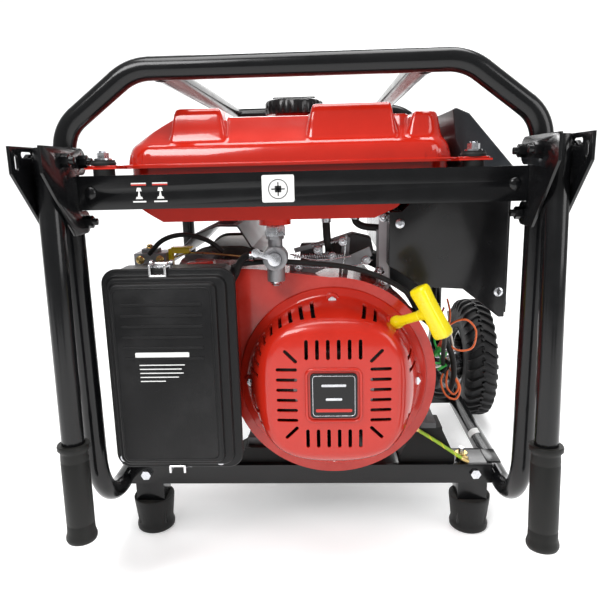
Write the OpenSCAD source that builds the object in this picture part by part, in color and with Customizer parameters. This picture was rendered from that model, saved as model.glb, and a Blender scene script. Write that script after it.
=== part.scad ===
// Portable open-frame petrol generator: tube frame with two wheels and two fold-up handles,
// single-cylinder engine with recoil starter, brushless alternator, fuel tank and control panel.
// +Z is up, -Y is the recoil-starter end, +X is the control-panel side.
// The origin is on the ground under the middle of the machine.

/* [Frame] */
// Half the distance between the axes of the left and right frame tubes
frame_half_w = 266; // [262:1:270]
// Distance between the front and rear hoops
frame_len = 600; // [590:10:620]
// Height of the top tubes' axis above the ground
top_z = 620.5; // [615:0.5:630]
// Height of the bottom tubes' axis above the ground
rail_z = 80.5; // [79:0.5:82]
// Outer radius of the frame tube
tube_r = 12.7; // [12:0.1:13]
// Bend radius of the bottom corners
corner_r = 78; // [70:1:90]

/* [Handles] */
// Length from the handle pivot to the closed end of the grip
handle_len = 439; // [400:1:460]
// Outer radius of the handle tube
handle_r = 13; // [12:0.1:13.3]
// Length of the rubber grip
grip_len = 122; // [110:1:130]
// How far the left handle hangs forward of plumb, in degrees
left_tilt = 2; // [0:0.5:5]
// How far the right handle hangs forward of plumb, in degrees
right_tilt = 4; // [0:0.5:5]

/* [Wheels] */
// Radius of the tyre
tyre_r = 120; // [115:1:122]
// Width of the tyre
tyre_w = 60; // [50:1:64]
// Distance of each wheel's middle plane from the centre of the machine
wheel_x = 325; // [322:1:328]
// Radius of the wheel axle
axle_r = 8; // [6:0.5:10]

/* [Engine] */
// Sideways place of the crankshaft axis
crank_x = 35; // [33:1:37]
// Height of the crankshaft axis
crank_z = 240; // [238:1:242]
// Radius of the recoil-starter cover's flange
cover_r = 121.5; // [118:0.5:122]
// Radius of the circle of cover bolts
bolt_circle_r = 106.5; // [105:0.5:108]
// Radius of the fan housing
housing_r = 134; // [133:0.5:136]
// Angle of the cylinder above the horizontal
cylinder_tilt = 25; // [24:1:26]

/* [Tank] */
// Height of the joint between the two tank shells
seam_z = 516; // [514:1:518]
// Radius of the fuel cap
cap_r = 42; // [38:1:44]

/* [Hidden] */
$fn = 64;

// Clearance that parts the faces of two bodies
gap = 0.3;
// Radial clearance of a running fit
run = 0.05;

front_y = -270;
rear_y = front_y + frame_len;
seam_y = 30;
post_in = frame_half_w - tube_r;

// Shoulder of each hoop: lower vertex, upper vertex and bend radii
shoulder_low_z = 557.5;
shoulder_top_x = 182.5;
shoulder_low_r = 45;
shoulder_top_r = 60;
shoulder_a = atan((top_z - shoulder_low_z) / (frame_half_w - shoulder_top_x));
shoulder_low_t = shoulder_low_r * tan((90 - shoulder_a) / 2);
shoulder_top_t = shoulder_top_r * tan(shoulder_a / 2);
top_bar_half = shoulder_top_x - shoulder_top_t;

// Ring at the start of each bend: half length, rise and the break inside it
ring_half = 1.5;
ring_up = 0.12;
ring_gap = 0.5;

// Tank rails
rail_h = 38;
rail_low = 469;
rail_deep = 26;
rail_front = front_y - 16;
rail_half = 252.5;
sheet = 2.5;

// Handle brackets and pivots
plate_t = 3;
plate_gap = 14;
pivot_y = front_y - 50;
pivot_z = 524;
clamp_z = [523, 455];
bolt_r = 4;

// Cross-members
cross_top = 105;
cross_low = 77;
cross_deep = 50;
front_cross_y = front_y + 79;
rear_cross_y = 100;
foot_x = 228;
foot_y = front_y + 100;

// Wheels
axle_y = 248;
axle_z = tyre_r;
axle_half = 362;
hub_half = 32;

// Engine planes along Y
cover_y = front_y + 60;
housing_back = cover_y + 70;
case_back = 0;
case_x = [-60, 132];
case_z = [132, 340];
bearing_r = 17.5;

// Starter: rope outlet and the way the handle pulls
rope_out = [112, -232, 319];
pull_dir = [0.58, -0.72, 0.38] / norm([0.58, -0.72, 0.38]);
bar_dir = [0.405, -0.017, -0.914];
pulley_y = cover_y - 34;
pulley_r = 50;

// Air filter box
box_x = [-236, -78];
box_z = [149, 400];
box_rim_y = -275;
box_front_y = -292;
box_back_y = -222;

// Alternator
alt_r = 104;
alt_y = [6, 215, 258];

// Control panel
panel_y = [-210, 190];
panel_x = 253;
outlet_y = 60;
outlet_z = 395;
switch_y = 150;
breaker_y = -120;

// Tank plan
tank_y = [-252, 312];
cap_x = -15;
cap_y = -40;
neck_top = 594;
ear_x = [-222, 192];
ear_y = [rail_front + 13, rear_y + 3];
ear_half = 18;
valve_x = -34;
valve_y = front_y + 44;
valve_z = 403;
lever_reach = 24;
lever_knob_r = 5;
lever_hub_r = 8;

// ---------- helpers ----------

// Round bar from p to q
module bar(p, q, r) {
    v = q - p;
    len = norm(v);
    translate(p)
        rotate([0, acos(v[2] / len), atan2(v[1], v[0])])
            cylinder(h = len, r = r);
}

// Quarter or part bend in its own plane, centred on the origin, from angle 0 to a
module bend(radius, a, r) {
    rotate_extrude(angle = a)
        translate([radius, 0])
            circle(r = r);
}

// Box given by its low and high corners
module block(low, high) {
    translate(low)
        cube(high - low);
}

// Outline in X and Z, drawn out along Y from y0 to y1
module along_y(y0, y1) {
    translate([0, y1, 0])
        rotate([90, 0, 0])
            linear_extrude(y1 - y0)
                children();
}

// Outline in Y and Z, drawn out along X from x0 to x1
module along_x(x0, x1) {
    translate([x0, 0, 0])
        rotate([90, 0, 90])
            linear_extrude(x1 - x0)
                children();
}

// Flat outline of a box with round corners, from its low and high corners
module round_rect(low, high, r) {
    union() {
        translate([low[0] + r, low[1]])
            square([high[0] - low[0] - 2 * r, high[1] - low[1]]);
        translate([low[0], low[1] + r])
            square([high[0] - low[0], high[1] - low[1] - 2 * r]);
        for (x = [low[0] + r, high[0] - r], y = [low[1] + r, high[1] - r])
            translate([x, y])
                circle(r = r);
    }
}

// Copies at both sides of the machine
module both_sides() {
    for (side = [-1, 1])
        scale_x(side)
            children();
}

module scale_x(side) {
    mirror([side < 0 ? 1 : 0, 0, 0])
        children();
}

// Hexagon-headed bolt along +X: head at the origin, shank pointing to -X
module bolt_x(shank, r, head_r, head_t) {
    rotate([0, 90, 0])
        cylinder(h = head_t, r = head_r, $fn = 6);
    translate([-shank, 0, 0])
        rotate([0, 90, 0])
            cylinder(h = shank, r = r);
}

// Tube swept through points: n sides, rings at every point
function unit(v) = v / norm(v);
function tangent(pts, i) =
    unit(pts[min(i + 1, len(pts) - 1)] - pts[max(i - 1, 0)]);
function side_of(t) = unit(cross(t, abs(t[2]) > 0.9 ? [1, 0, 0] : [0, 0, 1]));
function spline_at(a, b, c, d, t) =
    0.5 * ((2 * b) + (c - a) * t + (2 * a - 5 * b + 4 * c - d) * t * t
    + (3 * b - a - 3 * c + d) * t * t * t);
function spline(pts, steps) = [
    for (i = [0 : len(pts) - 2], s = [0 : steps - (i == len(pts) - 2 ? 0 : 1)])
        spline_at(pts[max(i - 1, 0)], pts[i], pts[i + 1], pts[min(i + 2, len(pts) - 1)],
            s / steps)];
function ring_frames(pts, i = 0, prev = [0, 0, 1], out = []) =
    i >= len(pts) ? out :
    let (t = tangent(pts, i))
    let (raw = i == 0 ? side_of(t) : prev - (prev * t) * t)
    let (s = unit(raw))
    ring_frames(pts, i + 1, s, concat(out, [[s, cross(t, s)]]));

module sweep_tube(pts, r, n) {
    frames = ring_frames(pts);
    rings = len(pts);
    points = [for (i = [0 : rings - 1], k = [0 : n - 1])
        pts[i] + r * cos(360 * k / n) * frames[i][0] + r * sin(360 * k / n) * frames[i][1]];
    walls = [for (i = [0 : rings - 2], k = [0 : n - 1])
        let (a = i * n + k)
        let (b = i * n + (k + 1) % n)
        [a, a + n, b + n, b]];
    start = [for (k = [0 : n - 1]) k];
    end = [for (k = [n - 1 : -1 : 0]) (rings - 1) * n + k];
    polyhedron(points = points, faces = concat(walls, [start, end]));
}

// ---------- frame ----------

// Slight ring that the tube bender leaves where a bend starts, at p along v
module bend_ring(p, v) {
    bar(p - ring_half * v, p + ring_half * v, tube_r + ring_up);
}

// Straight tube between two bends
module bent_bar(p, q) {
    v = unit(q - p);
    bar(p + ring_gap * v, q - ring_gap * v, tube_r);
    bend_ring(p, v);
    bend_ring(q, v);
}

// Upper bend, slope, lower bend and post of a hoop, for the +X side
module hoop_side() {
    slope = [-cos(shoulder_a), 0, sin(shoulder_a)];
    low = [frame_half_w, 0, shoulder_low_z];
    top = [shoulder_top_x, 0, top_z];
    translate([top_bar_half, 0, top_z - shoulder_top_r])
        rotate([90, 0, 0])
            rotate(90 - shoulder_a)
                bend(shoulder_top_r, shoulder_a, tube_r);
    bent_bar(low + shoulder_low_t * slope, top - shoulder_top_t * slope);
    translate([frame_half_w - shoulder_low_r, 0, shoulder_low_z - shoulder_low_t])
        rotate([90, 0, 0])
            bend(shoulder_low_r, 90 - shoulder_a, tube_r);
    bent_bar([frame_half_w, 0, rail_z + corner_r],
        [frame_half_w, 0, shoulder_low_z - shoulder_low_t]);
}

// Bottom bend and rail of the +X side, running towards +Y as far as rail_end
module hoop_rail(rail_end) {
    start = [frame_half_w, corner_r, rail_z];
    translate([frame_half_w, corner_r, rail_z + corner_r])
        rotate([0, -90, 0])
            rotate(180)
                bend(corner_r, 90, tube_r);
    bar(start + [0, ring_gap, 0], [frame_half_w, rail_end, rail_z], tube_r);
    bend_ring(start, [0, 1, 0]);
}

// Welded tab behind the tank rail; the rail's bolt passes through it
module rail_tab() {
    difference() {
        block([215, -13.4, 473], [frame_half_w - 4, -9.5, 503]);
        translate([235, 0, rail_low + rail_h / 2])
            rotate([90, 0, 0])
                cylinder(h = 40, r = bolt_r, center = true);
    }
}

module front_hoop() {
    color([0.06, 0.06, 0.06])
        translate([0, front_y, 0])
            difference() {
                union() {
                    bent_bar([-top_bar_half, 0, top_z], [top_bar_half, 0, top_z]);
                    both_sides() {
                        hoop_side();
                        hoop_rail(seam_y - front_y);
                        rail_tab();
                    }
                }
                clamp_bores();
            }
}

// Bores for the bolts that clamp the handle brackets to the posts
module clamp_bores() {
    for (z = clamp_z)
        translate([0, 0, z])
            rotate([0, 90, 0])
                cylinder(h = 2 * frame_half_w + 80, r = bolt_r, center = true);
}

module rear_hoop() {
    color([0.06, 0.06, 0.06])
        translate([0, rear_y, 0])
            mirror([0, 1, 0]) {
                bent_bar([-top_bar_half, 0, top_z], [top_bar_half, 0, top_z]);
                both_sides() {
                    hoop_side();
                    hoop_rail(rear_y - seam_y);
                    rail_tab();
                }
            }
}

top_rail_x = [-152, 138];

module top_rails() {
    color([0.06, 0.06, 0.06])
        difference() {
            for (x = top_rail_x)
                bar([x, front_y + 8, top_z], [x, rear_y - 8, top_z], tube_r);
            for (y = [front_y, rear_y]) {
                bar([-220, y, top_z], [220, y, top_z], tube_r);
                bend_ring([-top_bar_half, y, top_z], [1, 0, 0]);
            }
        }
}

// Pressed channel that carries one end of the tank, front web at y = 0
module tank_rail() {
    difference() {
        block([-rail_half, 0, rail_low], [rail_half, rail_deep, rail_low + rail_h]);
        block([-rail_half - 1, sheet, rail_low + sheet],
            [rail_half + 1, rail_deep + 1, rail_low + rail_h - sheet]);
        for (x = [-235, 235])
            translate([x, 0, rail_low + rail_h / 2])
                rotate([90, 0, 0])
                    cylinder(h = 20, r = bolt_r, center = true);
        for (x = ear_x)
            translate([x, 13, rail_low + rail_h])
                cylinder(h = 20, r = bolt_r, center = true);
    }
}

module front_tank_rail() {
    color([0.06, 0.06, 0.06])
        translate([0, rail_front, 0])
            tank_rail();
}

module rear_tank_rail() {
    color([0.06, 0.06, 0.06])
        translate([0, rear_y + 16, 0])
            mirror([0, 1, 0])
                tank_rail();
}

// Channel open downwards, with its low corner at y = 0
module cross_channel() {
    difference() {
        block([-post_in, 0, cross_low], [post_in, cross_deep, cross_top]);
        block([-post_in - 1, sheet, cross_low - 1],
            [post_in + 1, cross_deep - sheet, cross_top - sheet]);
        both_sides()
            for (y = [0, cross_deep])
                translate([frame_half_w, y, rail_z])
                    rotate([90, 0, 0])
                        cylinder(h = 60, r = tube_r, center = true);
    }
    both_sides()
        block([post_in - 6, 6, cross_top - 1], [frame_half_w, cross_deep - 6, cross_top + 1.5]);
}

// Channel leg that holds one rubber foot
module foot_leg() {
    translate([foot_x, foot_y, 0])
        difference() {
            block([-20, -18, 12], [20, 18, cross_top - sheet]);
            block([-17.5, -15.5, 11], [17.5, 19, cross_top]);
        }
}

module front_crossmember() {
    color([0.06, 0.06, 0.06]) {
        translate([0, front_cross_y, 0])
            cross_channel();
        both_sides()
            foot_leg();
    }
}

// Plate that holds the wheel axle, standing on the frame rail's inner side
module axle_plate() {
    difference() {
        along_x(post_in - 9, post_in - 5)
            polygon([[axle_y - 45, rail_z - 10], [axle_y + 45, rail_z - 10],
                [axle_y + 45, rail_z + 14], [axle_y + 18, axle_z + 20],
                [axle_y - 18, axle_z + 20], [axle_y - 45, rail_z + 14]]);
        translate([post_in - 7, axle_y, axle_z])
            rotate([0, 90, 0])
                cylinder(h = 20, r = axle_r, center = true);
    }
    block([post_in - 5, axle_y - 40, rail_z - 8], [post_in + 1.2, rear_y - corner_r - 2, rail_z + 4]);
}

module rear_crossmember() {
    color([0.06, 0.06, 0.06]) {
        translate([0, rear_cross_y, 0])
            cross_channel();
        both_sides() {
            difference() {
                axle_plate();
                bar([frame_half_w, 100, rail_z], [frame_half_w, 320, rail_z], tube_r);
            }
            block([post_in - 9, rear_cross_y + cross_deep, cross_low],
                [post_in - 5, axle_y - 45, rail_z + 8]);
        }
    }
}

// Rubber isolators between the cross-members and the engine and alternator
alt_mount_x = [-30, 100];
mount_h = 51;

module rubber_mount(low_w, top_w, h) {
    along_y(-22, 22)
        polygon([[-low_w / 2, 0], [low_w / 2, 0], [low_w / 2, 8], [top_w / 2, h - 4],
            [top_w / 2, h], [-top_w / 2, h], [-top_w / 2, h - 4], [-low_w / 2, 8]]);
}

module engine_mounts() {
    color([0.05, 0.05, 0.05]) {
        translate([-67, front_cross_y + 31, cross_top])
            rubber_mount(80, 46, 22);
        translate([165, front_cross_y + 31, cross_top])
            rubber_mount(76, 40, mount_h);
        for (x = alt_mount_x)
            translate([x, rear_cross_y + 25, cross_top])
                rubber_mount(44, 34, 20);
    }
}

// Side plate of a handle bracket, drawn in Y and Z, with its bolt holes
module bracket_plate(x0, x1, slots) {
    difference() {
        along_x(x0, x1)
            difference() {
                union() {
                    polygon([[pivot_y - 48, 538], [front_y, 538], [front_y, 508],
                        [front_y - 17, 508], [front_y - 17, 468], [front_y, 468],
                        [front_y, 442], [front_y - 33, 442], [pivot_y - 48, 511]]);
                    translate([front_y, 523])
                        circle(r = 15);
                    translate([front_y, 455])
                        circle(r = 13);
                }
                if (slots) {
                    translate([pivot_y - 36, 522])
                        round_rect([-3.5, -8], [3.5, 8], 3.4);
                    translate([pivot_y - 12, 530])
                        round_rect([-13, -3], [13, 3], 2.9);
                }
            }
        for (p = [[front_y, clamp_z[0]], [front_y, clamp_z[1]], [pivot_y, pivot_z]])
            translate([(x0 + x1) / 2, p[0], p[1]])
                rotate([0, 90, 0])
                    cylinder(h = 20, r = bolt_r, center = true);
    }
}

module handle_bracket() {
    bracket_plate(frame_half_w + plate_gap, frame_half_w + plate_gap + plate_t, true);
    bracket_plate(frame_half_w - plate_gap - plate_t, frame_half_w - plate_gap, false);
}

module right_handle_bracket() {
    color([0.05, 0.05, 0.05])
        handle_bracket();
}

module left_handle_bracket() {
    color([0.05, 0.05, 0.05])
        mirror([1, 0, 0])
            handle_bracket();
}

// One black bolt through both plates, with its nut on the inner side
module plate_bolt(y, z) {
    outer = frame_half_w + plate_gap + plate_t;
    inner = frame_half_w - plate_gap - plate_t;
    translate([outer, y, z])
        bolt_x(outer - inner + 13, bolt_r, 7.2, 5);
    translate([inner - 8, y, z])
        rotate([0, 90, 0])
            cylinder(h = 8, r = 7.4, $fn = 6);
}

// Button-headed bolt through a tank rail and its tab, head towards -Y
module button_bolt() {
    rotate([90, 0, 0]) {
        rotate_extrude()
            polygon([[0, 0], [7.5, 0], [6.6, 2.4], [4.2, 4], [0, 4]]);
        translate([0, 0, -12])
            cylinder(h = 12.1, r = bolt_r);
    }
}

module frame_bolts() {
    color([0.1, 0.1, 0.1]) {
        both_sides() {
            plate_bolt(pivot_y, pivot_z);
            plate_bolt(front_y, clamp_z[0]);
            plate_bolt(front_y, clamp_z[1]);
        }
        for (x = [-235, 235]) {
            translate([x, rail_front, rail_low + rail_h / 2])
                button_bolt();
            translate([x, rear_y + 16, rail_low + rail_h / 2])
                mirror([0, 1, 0])
                    button_bolt();
        }
    }
}

module rubber_feet() {
    color([0.05, 0.05, 0.05])
        both_sides()
            translate([foot_x, foot_y, 0])
                difference() {
                    rotate_extrude()
                        polygon([[0, 0], [24, 0], [26.5, 2], [27, 7], [25, 14], [28.5, 46],
                            [28.5, 50], [0, 50]]);
                    block([-20, -18, 12], [20, 18, 60]);
                }
}

module wheel_axle() {
    color([0.55, 0.55, 0.57]) {
        translate([-axle_half, axle_y, axle_z])
            rotate([0, 90, 0])
                cylinder(h = 2 * axle_half, r = axle_r);
        both_sides()
            for (x = [wheel_x - hub_half - 2.5, wheel_x + hub_half + gap])
                translate([x, axle_y, axle_z])
                    rotate([0, 90, 0])
                        difference() {
                            cylinder(h = 2.2, r = 15);
                            translate([0, 0, -1])
                                cylinder(h = 5, r = axle_r - 1);
                        }
    }
}

// ---------- handles ----------

// Hanging handle: pivot at the origin, tube pointing down
module handle_tube() {
    difference() {
        translate([0, 0, 5 - handle_len])
            cylinder(h = handle_len - 5 + 13, r = handle_r);
        translate([0, 0, 4 - handle_len])
            cylinder(h = handle_len + 13, r = handle_r - 1.6);
        rotate([0, 90, 0])
            cylinder(h = 60, r = bolt_r + run, center = true);
    }
}

module handle_grip() {
    lip = 18.5;
    translate([0, 0, -handle_len])
        difference() {
            rotate_extrude()
                polygon([[0, 0], [15, 0], [17.6, 2], [18.2, 6], [16.4, 12], [16, 40],
                    [15.2, grip_len - 8], [15.6, grip_len - 6], [lip, grip_len - 4],
                    [lip, grip_len], [0, grip_len]]);
            translate([0, 0, 5])
                cylinder(h = grip_len, r = handle_r);
        }
}

// Places a handle piece at its pivot on one side, hanging forward of plumb
module at_handle(side, tilt) {
    translate([side * frame_half_w, pivot_y, pivot_z])
        rotate([-tilt, 0, 0])
            children();
}

module left_handle_tube() {
    color([0.06, 0.06, 0.06])
        at_handle(-1, left_tilt)
            handle_tube();
}

module left_grip() {
    color([0.08, 0.08, 0.08])
        at_handle(-1, left_tilt)
            handle_grip();
}

module right_handle_tube() {
    color([0.06, 0.06, 0.06])
        at_handle(1, right_tilt)
            handle_tube();
}

module right_grip() {
    color([0.08, 0.08, 0.08])
        at_handle(1, right_tilt)
            handle_grip();
}

// ---------- wheels ----------

module at_wheel(side) {
    translate([side * wheel_x, axle_y, axle_z])
        rotate([0, 90, 0])
            children();
}

// Tyre about the Z axis, seated on a rim of 52 mm radius
module tyre() {
    h = tyre_w / 2;
    rotate_extrude()
        polygon([[52, -h + 9], [58, -h + 6], [74, -h + 1], [88, -h], [104, -h + 3],
            [tyre_r - 4, -h + 9], [tyre_r, -12], [tyre_r, 12], [tyre_r - 4, h - 9],
            [104, h - 3], [88, h], [74, h - 1], [58, h - 6], [52, h - 9]]);
}

module rim() {
    difference() {
        union() {
            rotate_extrude()
                polygon([[46, -24], [57, -24], [57, -21], [52, -20.5], [52, 20.5],
                    [57, 21], [57, 24], [46, 24], [46, 3], [20, 6], [20, -6], [46, -3]]);
            cylinder(h = 2 * hub_half, r = 20, center = true);
        }
        cylinder(h = 2 * hub_half + 2, r = axle_r + run, center = true);
        for (a = [0 : 60 : 300])
            rotate(a)
                translate([33, 0, 0])
                    cylinder(h = 40, r = 7, center = true);
    }
}

module tyre_seated() {
    difference() {
        tyre();
        rotate_extrude()
            polygon([[40, -26], [57, -24], [57, -21], [52, -20.5], [52, 20.5], [57, 21],
                [57, 24], [40, 26]]);
    }
}

module left_tyre() {
    color([0.04, 0.04, 0.04])
        at_wheel(-1)
            tyre_seated();
}

module left_rim() {
    color([0.1, 0.1, 0.1])
        at_wheel(-1)
            rim();
}

module right_tyre() {
    color([0.04, 0.04, 0.04])
        at_wheel(1)
            tyre_seated();
}

module right_rim() {
    color([0.1, 0.1, 0.1])
        at_wheel(1)
            rim();
}

// ---------- fuel tank ----------

// Plan outline of the tank shells
module tank_plan(x0, x1, inset, r) {
    round_rect([x0 + inset, tank_y[0] + inset], [x1 - inset, tank_y[1] - inset], r - inset);
}

// Upper profile in X and Z: sloped left corner, two raised pads and a recess between them
module upper_profile() {
    polygon([[-209, seam_z], [-205, 532], [-199, 540], [-155, 577], [-142, 580],
        [-89, 581], [-78, 573], [5, 573], [10, 584], [112, 583], [119, 571], [169, 571],
        [174, 532], [178, seam_z]]);
}

module upper_hollow() {
    polygon([[-206, seam_z - 1], [-202, 532], [-196, 538], [-154, 574], [-142, 577],
        [-91, 578], [-80, 570], [7, 570], [12, 581], [110, 580], [117, 568], [166, 568],
        [171, 532], [175, seam_z - 1]]);
}

// Tab at each corner of the flange, reaching over the tank rail
module tank_ears(z, t) {
    for (x = ear_x) {
        block([x - ear_half, ear_y[0] - 12, z], [x + ear_half, tank_y[0] + 20, z + t]);
        block([x - ear_half, tank_y[1] - 20, z], [x + ear_half, ear_y[1] + 12, z + t]);
    }
}

module ear_holes() {
    for (x = ear_x, y = ear_y)
        translate([x, y, seam_z - 10])
            cylinder(h = 30, r = bolt_r);
}

module tank_upper_shell() {
    color([0.72, 0.05, 0.03])
        difference() {
            union() {
                intersection() {
                    along_y(tank_y[0], tank_y[1])
                        upper_profile();
                    translate([0, 0, seam_z])
                        linear_extrude(100)
                            tank_plan(-209, 178, 0, 34);
                }
                translate([0, 0, seam_z])
                    linear_extrude(2)
                        tank_plan(-219, 188, -4, 38);
                tank_ears(seam_z, 2);
                translate([cap_x, cap_y, 560])
                    cylinder(h = neck_top - 560, r = 29);
            }
            intersection() {
                along_y(tank_y[0] + 3, tank_y[1] - 3)
                    upper_hollow();
                translate([0, 0, seam_z - 1])
                    linear_extrude(100)
                        tank_plan(-209, 178, 3, 34);
            }
            translate([cap_x, cap_y, 540])
                cylinder(h = 80, r = 26);
            translate([60, 150, 540])
                cylinder(h = 80, r = 14);
            ear_holes();
        }
}

// Lower profile: bevelled bottom edges and a stepped right side that clears the panel
module lower_profile(t) {
    polygon([[-205 + t, seam_z - 2 + t], [-205 + t, 482], [-195 + t, 469 + t / 2],
        [-165, 451 + t], [86, 451 + t], [112 - t, 463 + t], [135 - t, 487 + t],
        [172 - t, 503 + t], [176 - t, seam_z - 2 + t]]);
}

module tank_lower_shell() {
    sump_z = 444;
    color([0.68, 0.05, 0.03])
        difference() {
            union() {
                intersection() {
                    along_y(tank_y[0], tank_y[1])
                        lower_profile(0);
                    translate([0, 0, 440])
                        linear_extrude(100)
                            tank_plan(-209, 178, 4, 34);
                }
                translate([0, 0, seam_z - 2])
                    linear_extrude(2)
                        tank_plan(-219, 188, -4, 38);
                tank_ears(seam_z - 2, 2);
                translate([valve_x, valve_y, sump_z])
                    cylinder(h = 12, r = 20);
            }
            intersection() {
                along_y(tank_y[0] + 3, tank_y[1] - 3)
                    lower_profile(2.5);
                translate([0, 0, 440])
                    linear_extrude(100)
                        tank_plan(-209, 178, 7, 34);
            }
            translate([0, 0, seam_z - 4])
                linear_extrude(10)
                    tank_plan(-205, 174, 6, 34);
            translate([valve_x, valve_y, sump_z + 3])
                cylinder(h = 20, r = 17);
            ear_holes();
        }
}

module fuel_gauge() {
    color([0.1, 0.1, 0.1])
        translate([60, 150, 0]) {
            translate([0, 0, 584])
                cylinder(h = 6, r = 19);
            translate([0, 0, 560])
                cylinder(h = 24.1, r = 13.8);
        }
}

// Rubber washers above and below the tank flange at each ear
module tank_grommets() {
    color([0.05, 0.05, 0.05])
        for (x = ear_x, y = ear_y)
            translate([x, y, 0])
                difference() {
                    union() {
                        translate([0, 0, rail_low + rail_h])
                            cylinder(h = seam_z - 2 - rail_low - rail_h, r = 12);
                        translate([0, 0, seam_z + 2])
                            cylinder(h = 6, r = 13);
                    }
                    translate([0, 0, 480])
                        cylinder(h = 60, r = bolt_r);
                }
}

// Zinc-plated fasteners: tank studs and nuts, cross-member bolts and cover bolts
module plated_fasteners() {
    color([0.75, 0.75, 0.76]) {
        for (x = ear_x, y = ear_y)
            translate([x, y, 0]) {
                translate([0, 0, 498])
                    cylinder(h = 36, r = bolt_r);
                translate([0, 0, seam_z + 8])
                    cylinder(h = 2, r = 9);
                translate([0, 0, seam_z + 10])
                    cylinder(h = 6, r = 7, $fn = 6);
            }
        translate([0, front_cross_y, 0])
            both_sides() {
                translate([230, -5, 92])
                    rotate([-90, 0, 0])
                        cylinder(h = 5, r = 7, $fn = 6);
                translate([215, 22, cross_top + 0.01])
                    cylinder(h = 6, r = 7.5, $fn = 6);
                translate([215, 22, cross_top + 6])
                    cylinder(h = 9, r = bolt_r);
            }
        for (a = [90, 180, 270, 0])
            translate([crank_x, cover_y, crank_z])
                rotate([0, -a, 0])
                    translate([bolt_circle_r, -10.8, 0])
                        rotate([90, 0, 0])
                            cylinder(h = 5, r = 5.6, $fn = 6);
    }
}

module fuel_valve_body() {
    color([0.7, 0.7, 0.7])
        translate([valve_x, valve_y, 0])
            difference() {
                union() {
                    translate([0, 0, 426])
                        cylinder(h = 18, r = 11, $fn = 6);
                    translate([0, 0, 408])
                        cylinder(h = 18, r = 9);
                    translate([0, 0, valve_z])
                        rotate([90, 0, 0])
                            cylinder(h = 24, r = 15, center = true);
                    translate([0, 0, 374])
                        cylinder(h = 20, r = 11);
                    translate([0, 0, 368])
                        cylinder(h = 6, r = 5, $fn = 6);
                    translate([-26, 4, valve_z + 1])
                        rotate([0, 90, 0])
                            cylinder(h = 14, r = 4);
                }
                translate([0, -13, valve_z])
                    rotate([-90, 0, 0])
                        cylinder(h = 12, r = 4 + run);
            }
}

// Lever in front of the valve; it turns about the valve's Y axis
module fuel_valve_lever() {
    color([0.8, 0.8, 0.8])
        translate([valve_x, valve_y, valve_z]) {
            translate([0, -19, 0])
                rotate([-90, 0, 0])
                    cylinder(h = 16, r = 4);
            translate([0, -20, 0])
                rotate([-90, 0, 0])
                    cylinder(h = 7, r = lever_hub_r);
            along_lever() {
                block([-lever_reach, -18.5, -3], [-3, -14.5, 3]);
                translate([-lever_reach, -19.5, 0])
                    rotate([-90, 0, 0])
                        cylinder(h = 6, r = lever_knob_r);
            }
        }
}

module along_lever() {
    rotate([0, 20, 0])
        children();
}

hose_route = [[-61, -222, 404], [-70, -220, 405], [-80, -216, 396], [-87, -216, 380],
    [-100, -216, 362], [-125, -216, 352], [-146, -216, 350], [-156, -211, 350],
    [-158, -200, 352], [-163, -191, 355], [-175, -186, 357]];

module fuel_hose() {
    color([0.05, 0.05, 0.05])
        sweep_tube(spline(hose_route, 5), 4.5, 10);
}

// ---------- engine ----------

module crankcase() {
    color([0.5, 0.5, 0.5])
        difference() {
            union() {
                along_y(housing_back, case_back)
                    round_rect([case_x[0], case_z[0]], [case_x[1], case_z[1]], 24);
                block([case_x[0] - 26, -172, 127], [case_x[0] + 40, -60, 138]);
                block([case_x[1] - 20, -184, 156], [case_x[1] + 44, -100, 164]);
            }
            along_y(housing_back + 8, case_back - 8)
                round_rect([case_x[0] + 7, case_z[0] + 7], [case_x[1] - 7, case_z[1] - 7],
                    18);
            translate([crank_x, -70, crank_z])
                rotate([90, 0, 0])
                    cylinder(h = 200, r = bearing_r + run, center = true);
            translate([crank_x, cover_y, crank_z])
                rotate([-90, 0, 0])
                    cylinder(h = 70, r = housing_r + 0.5);
        }
}

// Places a piece in the cylinder's own frame: +X runs from the crank towards the head
module at_cylinder() {
    translate([crank_x, -70, crank_z])
        rotate([0, 180 + cylinder_tilt, 0])
            children();
}

cyl_half = 52;

module cylinder_block() {
    color([0.62, 0.62, 0.62])
        difference() {
            at_cylinder() {
                block([100, -42, -42], [228, 42, 42]);
                for (i = [0 : 11])
                    translate([126 + 8.2 * i, -cyl_half, -cyl_half])
                        cube([2.6, 2 * cyl_half, 2 * cyl_half]);
                block([220, -cyl_half, -cyl_half], [232, cyl_half, cyl_half]);
            }
            along_y(housing_back - 60, case_back + 20)
                round_rect([case_x[0] - 0.01, case_z[0]], [case_x[1], case_z[1]], 24);
            block([-300, -100, 392], [100, 60, 500]);
        }
}

module rocker_cover() {
    color([0.55, 0.55, 0.55])
        at_cylinder()
            difference() {
                along_x(232, 256)
                    round_rect([-46, -42], [46, 42], 12);
                along_x(231, 252)
                    round_rect([-42, -38], [42, 38], 10);
            }
}

// Outline of the fan housing in X and Z: a disc with a duct towards the cylinder
module housing_outline(t) {
    translate([crank_x, crank_z])
        circle(r = housing_r - t, $fn = 128);
    polygon([[-150 + t, 250 + t], [-60, 190 + t], [crank_x, 190 + t],
        [crank_x + 20, crank_z + housing_r - 3 - t], [-60, 386 - t], [-150 + t, 391 - t]]);
}

module blower_housing() {
    color([0.72, 0.05, 0.03])
        difference() {
            along_y(cover_y, housing_back)
                housing_outline(0);
            along_y(cover_y + 3, housing_back + 1)
                housing_outline(3);
            translate([crank_x, cover_y - 1, crank_z])
                rotate([-90, 0, 0])
                    cylinder(h = 6, r = 100);
            for (a = [90, 180, 270, 0])
                translate([crank_x, cover_y, crank_z])
                    rotate([0, -a, 0])
                        translate([bolt_circle_r, 0, 0])
                            rotate([90, 0, 0])
                                cylinder(h = 20, r = 3, center = true);
        }
}

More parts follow.
